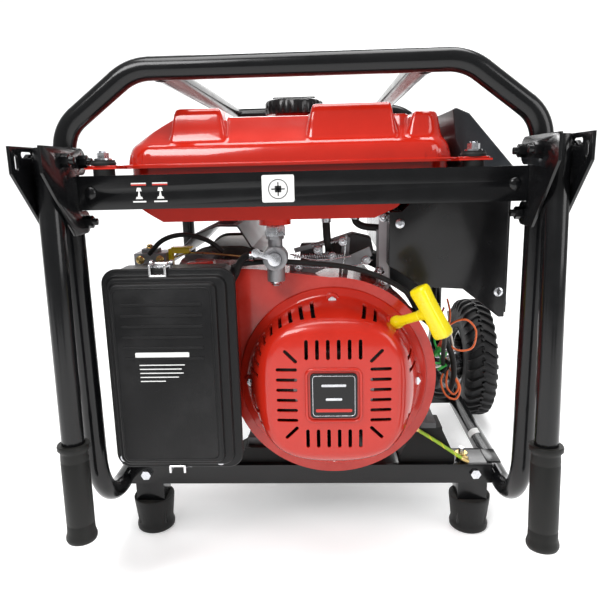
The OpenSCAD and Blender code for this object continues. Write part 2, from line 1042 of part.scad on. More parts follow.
// Curved sheet over the fan housing's upper right, level with the crankcase
module side_shroud() {
    r = 161;
    color([0.16, 0.16, 0.17]) {
        translate([crank_x, -120, crank_z])
            rotate([-90, 0, 0])
                rotate(-70)
                    rotate_extrude(angle = 52, $fn = 128)
                        translate([r - 3, 0])
                            square([3, 66]);
        along_y(-59, -55)
            difference() {
                translate([crank_x, crank_z])
                    circle(r = r - 1, $fn = 128);
                translate([crank_x, crank_z])
                    circle(r = r - 24, $fn = 128);
                polygon([[crank_x - 200, crank_z - 200], [crank_x + 200, crank_z - 200],
                    [crank_x + 200, crank_z + 72], [crank_x, crank_z],
                    [crank_x + 72, crank_z + 187], [crank_x - 200, crank_z + 200]]);
                round_rect([case_x[0], case_z[0]], [case_x[1], case_z[1]], 24);
            }
    }
}

// Domed cover profile about the crank axis: radius against height above the flange
module dome_profile(t) {
    polygon([[0, -1], [cover_r - (t > 0 ? 6 : 0), -1], [cover_r - (t > 0 ? 6 : 0), 5 - t],
        [116 - t, 10 - t], [104 - t, 22 - t], [96 - t, 44 - t], [88 - t, 56 - t],
        [74, 62 - t], [0, 65 - t]]);
}

slot_w = 5;

module cover_slots() {
    for (side = [0 : 3])
        rotate(90 * side)
            for (i = [-2.5 : 1 : 2.5])
                translate([i * 14 - slot_w / 2, 44, 30])
                    cube([slot_w, 27, 60]);
    for (side = [0 : 3])
        rotate(45 + 90 * side)
            translate([-slot_w / 2, 60, 30])
                cube([slot_w, 24, 60]);
}

// Ring of slanted slots in the cover's rim, where no bolt or rope outlet sits
module rim_slots() {
    for (a = [14 : 9 : 76])
        rotate(90 + a)
            translate([104, -2.5, 4])
                cube([9, 5, 20]);
}

module recoil_cover() {
    color([0.78, 0.06, 0.03])
        difference() {
            union() {
                translate([crank_x, cover_y, crank_z])
                    rotate([90, 0, 0])
                        difference() {
                            rotate_extrude($fn = 128)
                                intersection() {
                                    dome_profile(0);
                                    square([200, 80]);
                                }
                            rotate_extrude($fn = 128)
                                dome_profile(2.5);
                            cover_slots();
                            rim_slots();
                            for (a = [90, 180, 270, 0])
                                rotate(a)
                                    translate([bolt_circle_r, 0, 0])
                                        cylinder(h = 60, r = 3, center = true);
                        }
                translate([crank_x, pulley_y, crank_z])
                    rotate([90, 0, 0])
                        cylinder(h = 29.5, r = 8);
                bar(rope_out - 14 * pull_dir, rope_out, 9);
            }
            bar(rope_out - 30 * pull_dir, rope_out + 2 * pull_dir, 4);
            translate([crank_x, pulley_y - 10, crank_z])
                rotate([-90, 0, 0])
                    cylinder(h = 60, r = pulley_r + 2);
            for (a = [90, 180, 270, 0])
                translate([crank_x, cover_y, crank_z])
                    rotate([0, -a, 0])
                        translate([bolt_circle_r, -10.8, 0])
                            rotate([90, 0, 0])
                                cylinder(h = 30, r = 7.5);
        }
    color([0.78, 0.06, 0.03])
        starter_pin();
}

// Pin under the dome that the rope pulley turns on
module starter_pin() {
    translate([crank_x, pulley_y + 2, crank_z])
        rotate([90, 0, 0])
            cylinder(h = 15, r = 8);
}

module emblem_plate() {
    color([0.06, 0.06, 0.06])
        along_y(cover_y - 67.5, cover_y - 65)
            translate([crank_x, crank_z])
                round_rect([-29, -29], [29, 29], 5);
}

module starter_pulley() {
    color([0.75, 0.75, 0.75])
        translate([crank_x, pulley_y, crank_z])
            rotate([90, 0, 0])
                rotate_extrude()
                    polygon([[8 + run, 0], [pulley_r, 0], [pulley_r, 2], [pulley_r - 9, 3],
                        [pulley_r - 9, 6], [pulley_r, 7], [pulley_r, 9], [8 + run, 9]]);
}

// Places a piece along the rope: +Z of the piece is the pull direction
module at_rope() {
    x_dir = unit(bar_dir - (bar_dir * pull_dir) * pull_dir);
    y_dir = cross(pull_dir, x_dir);
    multmatrix([[x_dir[0], y_dir[0], pull_dir[0], rope_out[0]],
        [x_dir[1], y_dir[1], pull_dir[1], rope_out[1]],
        [x_dir[2], y_dir[2], pull_dir[2], rope_out[2]],
        [0, 0, 0, 1]])
        children();
}

module pull_handle() {
    color([0.95, 0.85, 0.02])
        at_rope() {
            translate([0, 0, gap])
                cylinder(h = 14, r = 8);
            translate([0, 0, 14])
                cylinder(h = 44, r = 5.5);
            translate([-32, -9, 54])
                cube([64, 18, 20]);
        }
}

// Crankshaft with the flywheel fan at one end and the alternator rotor at the other
module crank_rotor() {
    back = alt_y[1] - 3;
    shaft_end = alt_y[1] + 22;
    color([0.45, 0.45, 0.45])
        translate([crank_x, 0, crank_z])
            rotate([-90, 0, 0])
                rotate_extrude()
                    polygon([[0, cover_y + 6], [60, cover_y + 6], [60, cover_y + 14],
                        [112, cover_y + 14], [112, cover_y + 44], [60, cover_y + 60],
                        [bearing_r, cover_y + 60], [bearing_r, alt_y[0] + 20],
                        [66, alt_y[0] + 20], [66, back - 36], [bearing_r, back - 36],
                        [bearing_r, shaft_end], [0, shaft_end]]);
}

module spark_plug_cap() {
    tip = 256;
    color([0.05, 0.05, 0.05])
        at_cylinder()
            difference() {
                union() {
                    translate([tip, 0, 0])
                        rotate([0, 90, 0])
                            cylinder(h = 16, r = 11);
                    translate([tip + 12, 0, 0])
                        rotate([90, 0, 0])
                            cylinder(h = 30, r = 7);
                }
                translate([tip - 1, 0, 0])
                    rotate([0, 90, 0])
                        cylinder(h = 8, r = 5);
            }
}

carb_x = [-222, -180];
carb_y = [-198, -140];
duct_x = -201;
duct_z = 374;

module carburettor() {
    color([0.55, 0.55, 0.56]) {
        block([carb_x[0], carb_y[0] + 6, 354], [carb_x[1], carb_y[1] - 12, 406]);
        translate([duct_x, carb_y[0] + 22, 332])
            cylinder(h = 22.1, r = 17);
        translate([duct_x, carb_y[0] + 6.1, duct_z])
            rotate([90, 0, 0])
                cylinder(h = 8, r = 20);
        block([carb_x[0] + 8, carb_y[0] + 14, 406], [carb_x[1] - 12, carb_y[0] + 30, 411]);
    }
}

// Yellow choke lever on top of the carburettor's right side
module choke_lever() {
    color([0.95, 0.85, 0.02])
        translate([carb_x[1], -176, 384]) {
            rotate([0, 90, 0])
                translate([0, 0, gap])
                    cylinder(h = 5, r = 7);
            block([gap, -4, 0], [5, 8, 24]);
            block([gap, -4, 20], [28, 8, 26]);
        }
}

module air_filter_base() {
    color([0.05, 0.05, 0.05])
        difference() {
            union() {
                along_y(box_rim_y, box_back_y)
                    round_rect([box_x[0] + 4, box_z[0] + 4], [box_x[1] - 8, box_z[1] - 4], 14);
                translate([duct_x, box_back_y - 1, duct_z])
                    rotate([-90, 0, 0])
                        cylinder(h = carb_y[0] - 2 - box_back_y + 1, r = 20);
            }
            along_y(box_rim_y - 1, box_back_y - 3)
                round_rect([box_x[0] + 7, box_z[0] + 7], [box_x[1] - 11, box_z[1] - 7], 11);
            translate([duct_x, box_back_y - 10, duct_z])
                rotate([-90, 0, 0])
                    cylinder(h = 60, r = 16);
            translate([crank_x, cover_y - 22, crank_z])
                rotate([-90, 0, 0])
                    cylinder(h = 30, r = cover_r + 1);
        }
}

module air_filter_element() {
    color([0.85, 0.8, 0.6])
        block([box_x[0] + 14, box_rim_y + 6, box_z[0] + 14],
            [box_x[1] - 20, box_back_y - 8, box_z[1] - 14]);
}

module air_filter_cover() {
    color([0.05, 0.05, 0.05])
        difference() {
            union() {
                along_y(box_rim_y - 5, box_rim_y)
                    round_rect([box_x[0], box_z[0]], [box_x[1], box_z[1]], 18);
                along_y(box_front_y + 6, box_rim_y - 5)
                    round_rect([box_x[0] + 6, box_z[0] + 6], [box_x[1] - 14, box_z[1] - 12],
                        14);
                along_y(box_front_y, box_front_y + 6)
                    round_rect([box_x[0] + 10, box_z[0] + 10], [box_x[1] - 20, box_z[1] - 18],
                        12);
            }
            along_y(box_front_y + 3, box_rim_y + 1)
                round_rect([box_x[0] + 13, box_z[0] + 13], [box_x[1] - 23, box_z[1] - 21], 9);
            for (z = [box_z[1] - 42 : -12 : box_z[1] - 102])
                block([box_x[0] + 22, box_front_y - 1, z], [box_x[1] - 34, box_front_y + 1,
                    z + 2]);
        }
}

// Wire bail that hooks over the cover's rim; it turns about the X axis above the box
module filter_latch(z_sign, reach) {
    wire_r = 1.6;
    y_out = box_rim_y - 8.5;
    y_in = box_rim_y + 12;
    bar([-9, y_in, 4 * z_sign], [9, y_in, 4 * z_sign], wire_r);
    for (x = [-9, 9]) {
        bar([x, y_in, 4 * z_sign], [x, y_out, 4 * z_sign], wire_r);
        bar([x, y_out, 4 * z_sign], [x, y_out, (4 - reach) * z_sign], wire_r);
        for (p = [[y_in, 4], [y_out, 4], [y_out, 4 - reach]])
            translate([x, p[0], p[1] * z_sign])
                sphere(r = wire_r);
    }
    bar([-9, y_out, (4 - reach) * z_sign], [9, y_out, (4 - reach) * z_sign], wire_r);
}

latch_x = [-167, -160];

module upper_filter_latch() {
    color([0.75, 0.75, 0.76])
        translate([latch_x[0], 0, box_z[1]])
            filter_latch(1, 12);
}

module lower_filter_latch() {
    color([0.75, 0.75, 0.76])
        translate([latch_x[1], 0, box_z[0]])
            filter_latch(-1, 8);
}

// ---------- exhaust ----------

muffler_x = [-196, -76];
muffler_y = [10, 226];
muffler_z = [292, 384];

module muffler() {
    color([0.4, 0.38, 0.36])
        difference() {
            union() {
                along_y(muffler_y[0], muffler_y[1])
                    round_rect([muffler_x[0], muffler_z[0]], [muffler_x[1], muffler_z[1]], 36);
                translate([-140, -14, 336])
                    rotate([-90, 0, 0])
                        cylinder(h = 30, r = 17);
                translate([-196, 190, 330])
                    rotate([0, -90, 0])
                        cylinder(h = 26, r = 15);
            }
            along_y(muffler_y[0] + 2, muffler_y[1] - 2)
                round_rect([muffler_x[0] + 2, muffler_z[0] + 2], [muffler_x[1] - 2,
                    muffler_z[1] - 2], 34);
            translate([-190, 190, 330])
                rotate([0, -90, 0])
                    cylinder(h = 40, r = 13);
        }
}

// Perforated heat guard over the muffler and the cylinder head
module guard_profile() {
    polygon([[-214, 372], [-168, 418], [-134, 430], [-102, 429], [-82, 396], [-66, 390],
        [-66, 387.5], [-83.5, 393.5], [-103.5, 426.5], [-134, 427.5], [-166.5, 415.5],
        [-212.2, 370.2]]);
}

module muffler_guard() {
    color([0.42, 0.42, 0.43])
        difference() {
            along_y(-66, 236)
                guard_profile();
            for (y = [-50 : 22 : 216])
                block([-160, y, 380], [-112, y + 10, 440]);
        }
}

// ---------- alternator ----------

module alternator_housing() {
    color([0.1, 0.1, 0.1])
        difference() {
            union() {
                translate([crank_x, alt_y[0], crank_z])
                    rotate([-90, 0, 0])
                        cylinder(h = alt_y[1] - alt_y[0], r = alt_r, $fn = 128);
                block([crank_x - 92, rear_cross_y, 127], [crank_x + 92, rear_cross_y + 50, 165]);
                translate([crank_x, case_back, crank_z])
                    rotate([-90, 0, 0])
                        cylinder(h = alt_y[0] - case_back, r = 90);
            }
            translate([crank_x, alt_y[0] + 8, crank_z])
                rotate([-90, 0, 0])
                    cylinder(h = alt_y[1] - alt_y[0], r = 72, $fn = 128);
            translate([crank_x, case_back - 1, crank_z])
                rotate([-90, 0, 0])
                    cylinder(h = 40, r = 24);
        }
}

module alternator_end_cover() {
    color([0.12, 0.12, 0.12])
        translate([crank_x, 0, crank_z])
            rotate([-90, 0, 0])
                difference() {
                    rotate_extrude($fn = 128)
                        polygon([[0, alt_y[1]], [alt_r, alt_y[1]], [alt_r, alt_y[1] + 24],
                            [94, alt_y[2] - 4], [80, alt_y[2]], [0, alt_y[2]]]);
                    translate([0, 0, alt_y[1] - 1])
                        difference() {
                            cylinder(h = 26, r = 96);
                            cylinder(h = 27, r = 30);
                        }
                    translate([0, 0, alt_y[1] - 1])
                        cylinder(h = 25, r = bearing_r + run);
                    translate([0, 0, alt_y[1] - 1])
                        cylinder(h = 8, r = 40);
                    for (i = [-5 : 5])
                        translate([i * 14 - 3, -62, alt_y[2] - 30])
                            cube([6, 40, 60]);
                    for (i = [-5 : 5])
                        translate([i * 14 - 3, 22, alt_y[2] - 30])
                            cube([6, 40, 60]);
                }
}

// ---------- control panel ----------

module panel_box() {
    color([0.04, 0.04, 0.04])
        difference() {
            along_y(panel_y[0], panel_y[1])
                polygon([[107, 362], [200, 356], [246, 319], [panel_x, 319], [panel_x, 506],
                    [192, 506], [188, 494], [146, 478], [122, 455], [107, 455]]);
            along_y(panel_y[0] + 3, panel_y[1] - 3)
                polygon([[110, 365], [201, 359], [247, 322], [panel_x + 1, 322],
                    [panel_x + 1, 503], [195, 503], [190, 492], [148, 475], [123, 452],
                    [110, 452]]);
            translate([crank_x, -300, crank_z])
                rotate([-90, 0, 0])
                    cylinder(h = 800, r = 163);
        }
}

module panel_cowl() {
    color([0.2, 0.2, 0.21])
        difference() {
            along_y(panel_y[0], panel_y[1])
                polygon([[193, 506], [256, 506], [216, 552], [209, 560], [201, 569],
                    [185, 576], [181, 574], [185, 540], [193, 524]]);
            along_y(panel_y[0] + 3, panel_y[1] - 3)
                polygon([[196, 505], [250, 505], [213, 550], [206, 558], [199, 566],
                    [186, 572], [188, 541], [196, 525]]);
        }
}

// Plate with the outlets, meter, switch and breaker, facing +X
module panel_face() {
    color([0.12, 0.12, 0.13])
        difference() {
            union() {
                block([panel_x, panel_y[0] + 4, 324], [panel_x + 3, panel_y[1] - 4, 502]);
                for (y = [outlet_y, outlet_y - 70])
                    translate([panel_x + 3, y, outlet_z])
                        rotate([0, 90, 0])
                            cylinder(h = 6, r = 25);
                translate([panel_x + 3, -40, 462])
                    rotate([0, 90, 0])
                        cylinder(h = 5, r = 24);
                block([panel_x + 3, breaker_y - 16, 374], [panel_x + 7, breaker_y + 16, 424]);
            }
            for (y = [outlet_y, outlet_y - 70])
                translate([panel_x - 1, y, outlet_z])
                    rotate([0, 90, 0])
                        cylinder(h = 12, r = 20);
            translate([panel_x - 1, switch_y, outlet_z])
                rotate([0, 90, 0])
                    cylinder(h = 12, r = 7 + run);
            block([panel_x - 1, breaker_y - 5, 388], [panel_x + 8, breaker_y + 5, 410]);
        }
}

// Engine key switch; it turns about the X axis
module engine_switch() {
    color([0.7, 0.05, 0.03])
        translate([panel_x, switch_y, outlet_z]) {
            translate([-14, 0, 0])
                rotate([0, 90, 0])
                    cylinder(h = 17.5, r = 7);
            translate([3 + gap, 0, 0])
                rotate([0, 90, 0])
                    cylinder(h = 7, r = 13);
            block([10, -4, -13], [18, 4, 13]);
        }
}

// Breaker toggle; it tips about the Y axis inside its slot
module breaker_lever() {
    color([0.08, 0.08, 0.08])
        translate([panel_x + 1, breaker_y, 399]) {
            rotate([90, 0, 0])
                cylinder(h = 8, r = 5, center = true);
            rotate([0, -18, 0])
                block([0, -3, -2.5], [15, 3, 2.5]);
        }
}

// Hinged splash lid over the outlet, closed
module outlet_lid() {
    x0 = panel_x + 9 + gap;
    color([0.1, 0.1, 0.1])
        difference() {
            union() {
                translate([x0, outlet_y, outlet_z])
                    rotate([0, 90, 0])
                        cylinder(h = 6, r = 25);
                translate([x0 + 3, outlet_y - 12, outlet_z + 27])
                    rotate([-90, 0, 0])
                        cylinder(h = 24, r = 3);
                block([x0, outlet_y - 12, outlet_z + 18], [x0 + 6, outlet_y + 12,
                    outlet_z + 27]);
            }
            translate([x0 - 1, outlet_y, outlet_z])
                rotate([0, 90, 0])
                    cylinder(h = 5, r = 21);
        }
}

// ---------- wiring ----------

earth_route = [[147, -188, 158], [160, -188, 149], [175, -188, 139], [190, -187, 128],
    [205, -186, 117], [216, -185, 109]];

module earth_lead() {
    color([0.55, 0.75, 0.1])
        sweep_tube(spline(earth_route, 4), 2.4, 8);
}

harness_loops = [
    [[205, -90, 318], [207, -94, 290], [206, -96, 262], [202, -96, 240], [204, -98, 222]],
    [[206, -100, 220], [214, -104, 238], [222, -108, 262], [228, -110, 276],
        [222, -112, 262], [216, -110, 244], [210, -104, 222]],
    [[204, -100, 214], [202, -106, 196], [208, -110, 178], [218, -110, 172],
        [222, -108, 186], [214, -104, 204], [208, -100, 216]]];

module wiring_harness() {
    color([0.9, 0.35, 0.12]) {
        for (route = harness_loops)
            sweep_tube(spline(route, 4), 1.8, 8);
        block([198, -101, 214], [213, -92, 224]);
    }
}

// ---------- small moving pieces ----------

module fuel_cap() {
    color([0.06, 0.06, 0.06])
        translate([cap_x, cap_y, 0])
            difference() {
                translate([0, 0, 586])
                    cylinder(h = 26, r = cap_r);
                translate([0, 0, 585])
                    cylinder(h = neck_top + gap - 585, r = 29 + run);
            }
}

front_hoop();
rear_hoop();
top_rails();
front_tank_rail();
rear_tank_rail();
front_crossmember();
rear_crossmember();
engine_mounts();
left_handle_bracket();
right_handle_bracket();
frame_bolts();
rubber_feet();
wheel_axle();
tank_upper_shell();
tank_lower_shell();
fuel_gauge();
tank_grommets();
plated_fasteners();
fuel_valve_body();
fuel_hose();
crankcase();
cylinder_block();
rocker_cover();
blower_housing();
side_shroud();
recoil_cover();
emblem_plate();
spark_plug_cap();
carburettor();
air_filter_base();
air_filter_element();
air_filter_cover();
muffler();
muffler_guard();
alternator_housing();
alternator_end_cover();
panel_box();
panel_cowl();
panel_face();
earth_lead();
wiring_harness();
left_handle_tube();
left_grip();
right_handle_tube();
right_grip();
left_tyre();
left_rim();
right_tyre();
right_rim();
crank_rotor();
starter_pulley();
pull_handle();
fuel_cap();
fuel_valve_lever();
choke_lever();
upper_filter_latch();
lower_filter_latch();
engine_switch();
breaker_lever();
outlet_lid();
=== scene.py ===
"""Looks of the portable generator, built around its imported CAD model."""

from math import atan2, cos, pi, radians, sin, sqrt, tau

import bmesh
import bpy
import numpy as np
from mathutils import Matrix, Vector


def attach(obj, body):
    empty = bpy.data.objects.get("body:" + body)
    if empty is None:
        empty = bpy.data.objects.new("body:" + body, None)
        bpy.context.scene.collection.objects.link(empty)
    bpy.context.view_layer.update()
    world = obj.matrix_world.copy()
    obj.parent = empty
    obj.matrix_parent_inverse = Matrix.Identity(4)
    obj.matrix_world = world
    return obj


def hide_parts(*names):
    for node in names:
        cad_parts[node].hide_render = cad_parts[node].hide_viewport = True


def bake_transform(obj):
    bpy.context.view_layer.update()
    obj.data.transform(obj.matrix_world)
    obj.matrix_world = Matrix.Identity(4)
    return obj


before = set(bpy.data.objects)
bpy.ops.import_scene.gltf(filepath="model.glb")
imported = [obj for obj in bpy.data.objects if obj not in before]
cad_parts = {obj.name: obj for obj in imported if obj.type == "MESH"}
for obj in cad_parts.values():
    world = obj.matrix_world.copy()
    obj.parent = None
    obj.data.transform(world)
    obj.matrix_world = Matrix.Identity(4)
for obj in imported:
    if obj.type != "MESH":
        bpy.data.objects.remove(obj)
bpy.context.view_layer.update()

MM = 0.001

# Places shared with the CAD source, in millimetres
CRANK = (35.0, 240.0)
COVER_Y = -210.0
BOLT_CIRCLE = 106.5
ROPE_OUT = Vector((112.0, -232.0, 319.0))
PULL_DIR = Vector((0.58, -0.72, 0.38)).normalized()
BAR_DIR = Vector((0.405, -0.017, -0.914))
TOP_Z, POST_X, FRONT_Y, REAR_Y = 620.5, 266.0, -270.0, 330.0
RAIL_FRONT = -286.0
WHEEL_X, AXLE_Y, AXLE_Z = 325, 248, 120
VALVE_X, VALVE_Y, VALVE_Z = -34, -226, 403
FILTER_FACE_Y = -292.0
LATCHES = ((-167, 400, 1), (-160, 149, -1))
SEAM_Z = 516.0


# ---------- materials ----------


def node(tree, kind, **inputs):
    made = tree.nodes.new(kind)
    for name, value in inputs.items():
        made.inputs[name.replace("_", " ")].default_value = value
    return made


def material(name, color, rough=0.4, metal=0.0, coat=0.0, coat_rough=0.1, spec=0.5, mottle=0.15,
        mottle_scale=25.0, grain=900.0, bump=0.15, rough_var=0.08, wear_and_edge_highlight=0.0,
        wear_and_highlight_color=(0.4, 0.4, 0.4), dust=0.0, dust_color=(0.35, 0.32, 0.28), scratch=0.0,
        alpha=1.0, sheen=0.0, voronoi=False, emit=0.0):
    """Procedural surface: mottled colour, uneven gloss, fine grain, lighter edges (wear and painted
    highlight) and dust.
    """
    mat = bpy.data.materials.new(name)
    mat.use_nodes = True
    tree = mat.node_tree
    shader = tree.nodes["Principled BSDF"]
    link = tree.links.new
    for socket, value in {"Metallic": metal, "Coat Weight": coat, "Coat Roughness": coat_rough,
            "Specular IOR Level": spec, "Alpha": alpha, "Sheen Weight": sheen}.items():
        shader.inputs[socket].default_value = value
    if emit:
        shader.inputs["Emission Color"].default_value = (*color, 1)
        shader.inputs["Emission Strength"].default_value = emit
    coords = tree.nodes.new("ShaderNodeTexCoord")
    cloud = node(tree, "ShaderNodeTexNoise", Scale=mottle_scale, Detail=6.0, Roughness=0.6)
    fine = (node(tree, "ShaderNodeTexVoronoi", Scale=grain) if voronoi else
        node(tree, "ShaderNodeTexNoise", Scale=grain, Detail=3.0, Roughness=0.55))
    link(coords.outputs["Object"], cloud.inputs["Vector"])
    link(coords.outputs["Object"], fine.inputs["Vector"])
    fine_out = fine.outputs["Distance" if voronoi else "Fac"]
    ramp = tree.nodes.new("ShaderNodeValToRGB")
    ramp.color_ramp.elements[0].position = 0.3
    ramp.color_ramp.elements[1].position = 0.7
    dark = [c * (1 - mottle) for c in color]
    light = [min(1.0, c * (1 + mottle)) for c in color]
    ramp.color_ramp.elements[0].color = (*dark, 1)
    ramp.color_ramp.elements[1].color = (*light, 1)
    link(cloud.outputs["Fac"], ramp.inputs["Fac"])
    tint = ramp.outputs["Color"]

    def mix(factor, base, top):
        m = tree.nodes.new("ShaderNodeMix")
        m.data_type = "RGBA"
        link(factor, m.inputs["Factor"])
        link(base, m.inputs["A"])
        m.inputs["B"].default_value = (*top, 1)
        return m.outputs["Result"]

    def times(a, b, clamp=True):
        m = tree.nodes.new("ShaderNodeMath")
        m.operation = "MULTIPLY"
        m.use_clamp = clamp
        link(a, m.inputs[0])
        if isinstance(b, (int, float)):
            m.inputs[1].default_value = b
        else:
            link(b, m.inputs[1])
        return m.outputs[0]

    def span(value, low, high, to_low=0.0, to_high=1.0):
        m = tree.nodes.new("ShaderNodeMapRange")
        m.inputs["From Min"].default_value = low
        m.inputs["From Max"].default_value = high
        m.inputs["To Min"].default_value = to_low
        m.inputs["To Max"].default_value = to_high
        link(value, m.inputs["Value"])
        return m.outputs["Result"]

    geo = tree.nodes.new("ShaderNodeNewGeometry")
    if dust:
        axes = tree.nodes.new("ShaderNodeSeparateXYZ")
        link(geo.outputs["Normal"], axes.inputs[0])
        up = span(axes.outputs["Z"], 0.45, 1.0)
        tint = mix(times(times(up, span(cloud.outputs["Fac"], 0.35, 0.75)), dust), tint,
            dust_color)
    # Convex edges lightened towards the edge colour: partly edge wear, partly a painted highlight.
    if wear_and_edge_highlight:
        edge = span(geo.outputs["Pointiness"], 0.54, 0.62)
        tint = mix(times(times(edge, span(cloud.outputs["Fac"], 0.4, 0.65)), wear_and_edge_highlight), tint,
            wear_and_highlight_color)
    if scratch:
        lines = node(tree, "ShaderNodeTexNoise", Scale=60.0, Detail=2.0)
        stretch = tree.nodes.new("ShaderNodeMapping")
        stretch.inputs["Scale"].default_value = (1.0, 9.0, 22.0)
        link(coords.outputs["Object"], stretch.inputs["Vector"])
        link(stretch.outputs["Vector"], lines.inputs["Vector"])
        tint = mix(times(span(lines.outputs["Fac"], 0.66, 0.72), scratch), tint, wear_and_highlight_color)
    link(tint, shader.inputs["Base Color"])
    link(span(cloud.outputs["Fac"], 0.25, 0.75, max(0.03, rough - rough_var), rough + rough_var),
        shader.inputs["Roughness"])
    relief = tree.nodes.new("ShaderNodeBump")
    relief.inputs["Strength"].default_value = bump
    relief.inputs["Distance"].default_value = 0.0006
    link(fine_out, relief.inputs["Height"])
    link(relief.outputs["Normal"], shader.inputs["Normal"])
    return mat


RED = (0.50, 0.016, 0.006)
M = {
    "frame": material("frame_black_paint", (0.0045, 0.0047, 0.0052), 0.2, coat=0.12, spec=0.3,
                      coat_rough=0.1, bump=0.08, grain=520, wear_and_edge_highlight=0.12, dust=0.0,
                      wear_and_highlight_color=(0.06, 0.06, 0.06)),
    "tank": material("tank_red_enamel", RED, 0.15, coat=0.6, coat_rough=0.03, spec=0.35, bump=0.035,
                     grain=260, mottle=0.05, rough_var=0.04, wear_and_edge_highlight=0.1, dust=0.02,
                     wear_and_highlight_color=(0.72, 0.10, 0.08)),
    "engine_red": material("engine_red_enamel", (0.48, 0.017, 0.007), 0.22, coat=0.4, spec=0.35,
                           coat_rough=0.06, bump=0.05, grain=320, mottle=0.06, rough_var=0.05,
                           wear_and_edge_highlight=0.18, dust=0.02, wear_and_highlight_color=(0.7, 0.12, 0.1)),
    "grey": material("cowl_grey_paint", (0.026, 0.029, 0.033), 0.34, coat=0.08, spec=0.25, bump=0.1,
                     grain=600, wear_and_edge_highlight=0.3, dust=0.05, wear_and_highlight_color=(0.2, 0.2, 0.2)),
    "plastic": material("black_moulded_plastic", (0.0055, 0.0055, 0.006), 0.36, bump=0.3,
                        spec=0.25, grain=1500, voronoi=True, dust=0.02, wear_and_edge_highlight=0.1,
                        wear_and_highlight_color=(0.09, 0.09, 0.09)),
    "smooth_plastic": material("black_smooth_plastic", (0.006, 0.006, 0.0065), 0.22, coat=0.1,
                               spec=0.3, bump=0.06, grain=700, dust=0.05),
    "yellow": material("yellow_plastic", (0.86, 0.70, 0.006), 0.3, coat=0.25, bump=0.12,
                       grain=900, mottle=0.05, wear_and_edge_highlight=0.15, wear_and_highlight_color=(0.9, 0.85, 0.4)),
    "red_plastic": material("red_plastic", (0.6, 0.012, 0.01), 0.28, coat=0.3, bump=0.08),
    "green_plastic": material("green_plastic", (0.03, 0.35, 0.05), 0.32, bump=0.08),
    "rubber": material("black_rubber", (0.007, 0.007, 0.007), 0.58, spec=0.25, bump=0.35,
                       grain=1100, dust=0.12, sheen=0.05),
    "grip": material("grip_rubber", (0.008, 0.0082, 0.0075), 0.46, bump=0.3, spec=0.25, grain=1300,
                     voronoi=True, dust=0.05),
    "tyre": material("tyre_rubber", (0.012, 0.012, 0.013), 0.6, spec=0.35, bump=0.5, grain=700,
                     dust=0.25, dust_color=(0.12, 0.11, 0.10), mottle=0.25),
    "cast": material("cast_aluminium", (0.24, 0.24, 0.25), 0.44, metal=0.85, bump=0.6,
                     grain=1400, mottle=0.2, wear_and_edge_highlight=0.3, wear_and_highlight_color=(0.6, 0.6, 0.62), dust=0.08),
    "cast_dark": material("cast_dark_aluminium", (0.085, 0.088, 0.092), 0.5, metal=0.6, bump=0.6,
                          grain=1300, mottle=0.25, wear_and_edge_highlight=0.3, wear_and_highlight_color=(0.4, 0.4, 0.4)),
    "zinc": material("zinc_plate", (0.62, 0.63, 0.66), 0.26, metal=1.0, bump=0.08, grain=1500,
                     mottle=0.2, mottle_scale=140, rough_var=0.1),
    "passivate": material("yellow_passivate", (0.58, 0.47, 0.26), 0.3, metal=1.0, bump=0.08,
                          grain=1500, mottle=0.25, mottle_scale=160),
    "chrome": material("bright_wire", (0.78, 0.78, 0.79), 0.12, metal=1.0, bump=0.03,
                       mottle=0.06),
    "brass": material("brass", (0.62, 0.45, 0.18), 0.28, metal=1.0, bump=0.06, mottle=0.15),
    "steel": material("machined_steel", (0.34, 0.34, 0.35), 0.34, metal=1.0, bump=0.12,
                      grain=900, scratch=0.3, mottle=0.15),
    "hot": material("heated_steel", (0.17, 0.155, 0.14), 0.46, metal=0.8, bump=0.25,
                    grain=700, mottle=0.35, mottle_scale=40, wear_and_edge_highlight=0.3,
                    wear_and_highlight_color=(0.35, 0.33, 0.30)),
    "guard": material("guard_steel", (0.13, 0.133, 0.14), 0.36, metal=0.55, bump=0.15,
                      grain=800, mottle=0.2, wear_and_edge_highlight=0.35, wear_and_highlight_color=(0.4, 0.4, 0.4)),
    "foam": material("filter_foam", (0.55, 0.48, 0.25), 0.9, bump=1.0, grain=600, voronoi=True),
    "earth": material("earth_lead_sleeve", (0.30, 0.48, 0.02), 0.38, bump=0.08, mottle=0.1),
    "earth_stripe": material("earth_stripe", (0.72, 0.62, 0.02), 0.38, bump=0.08, mottle=0.1),
    "orange": material("orange_wire", (0.75, 0.13, 0.02), 0.36, bump=0.08, mottle=0.1),
    "red_wire": material("red_wire", (0.55, 0.02, 0.015), 0.36, bump=0.08, mottle=0.1),
    "green_wire": material("green_wire", (0.02, 0.42, 0.06), 0.36, bump=0.08, mottle=0.1),
    "white_wire": material("white_wire", (0.68, 0.66, 0.60), 0.4, bump=0.08, mottle=0.08),
    "rope": material("braided_rope", (0.72, 0.70, 0.64), 0.8, bump=0.9, grain=1600, mottle=0.2),
    "label_white": material("label_white", (0.78, 0.78, 0.77), 0.42, bump=0.04, mottle=0.03),
    "label_grey": material("label_grey_print", (0.42, 0.42, 0.42), 0.5, bump=0.04, mottle=0.05),
    "label_red": material("label_red_print", (0.55, 0.03, 0.02), 0.4, bump=0.04, mottle=0.05),
    # Dark print colour, also used for the painted shade disc inside the starter cover.
    "dark_print_and_shade": material("dark_print_and_painted_shade", (0.012, 0.012, 0.013), 0.3, bump=0.04),
    "strap": material("pale_grey_strap", (0.50, 0.51, 0.53), 0.42, bump=0.1, mottle=0.1),
    "dial": material("dial_glass", (0.82, 0.82, 0.80), 0.12, coat=0.8, bump=0.02, mottle=0.02),
}


# ---------- mesh building ----------


shift = Matrix.Translation


def frame_axes(direction):
    z = Vector(direction).normalized()
    x = z.orthogonal().normalized()
    return x, z.cross(x), z


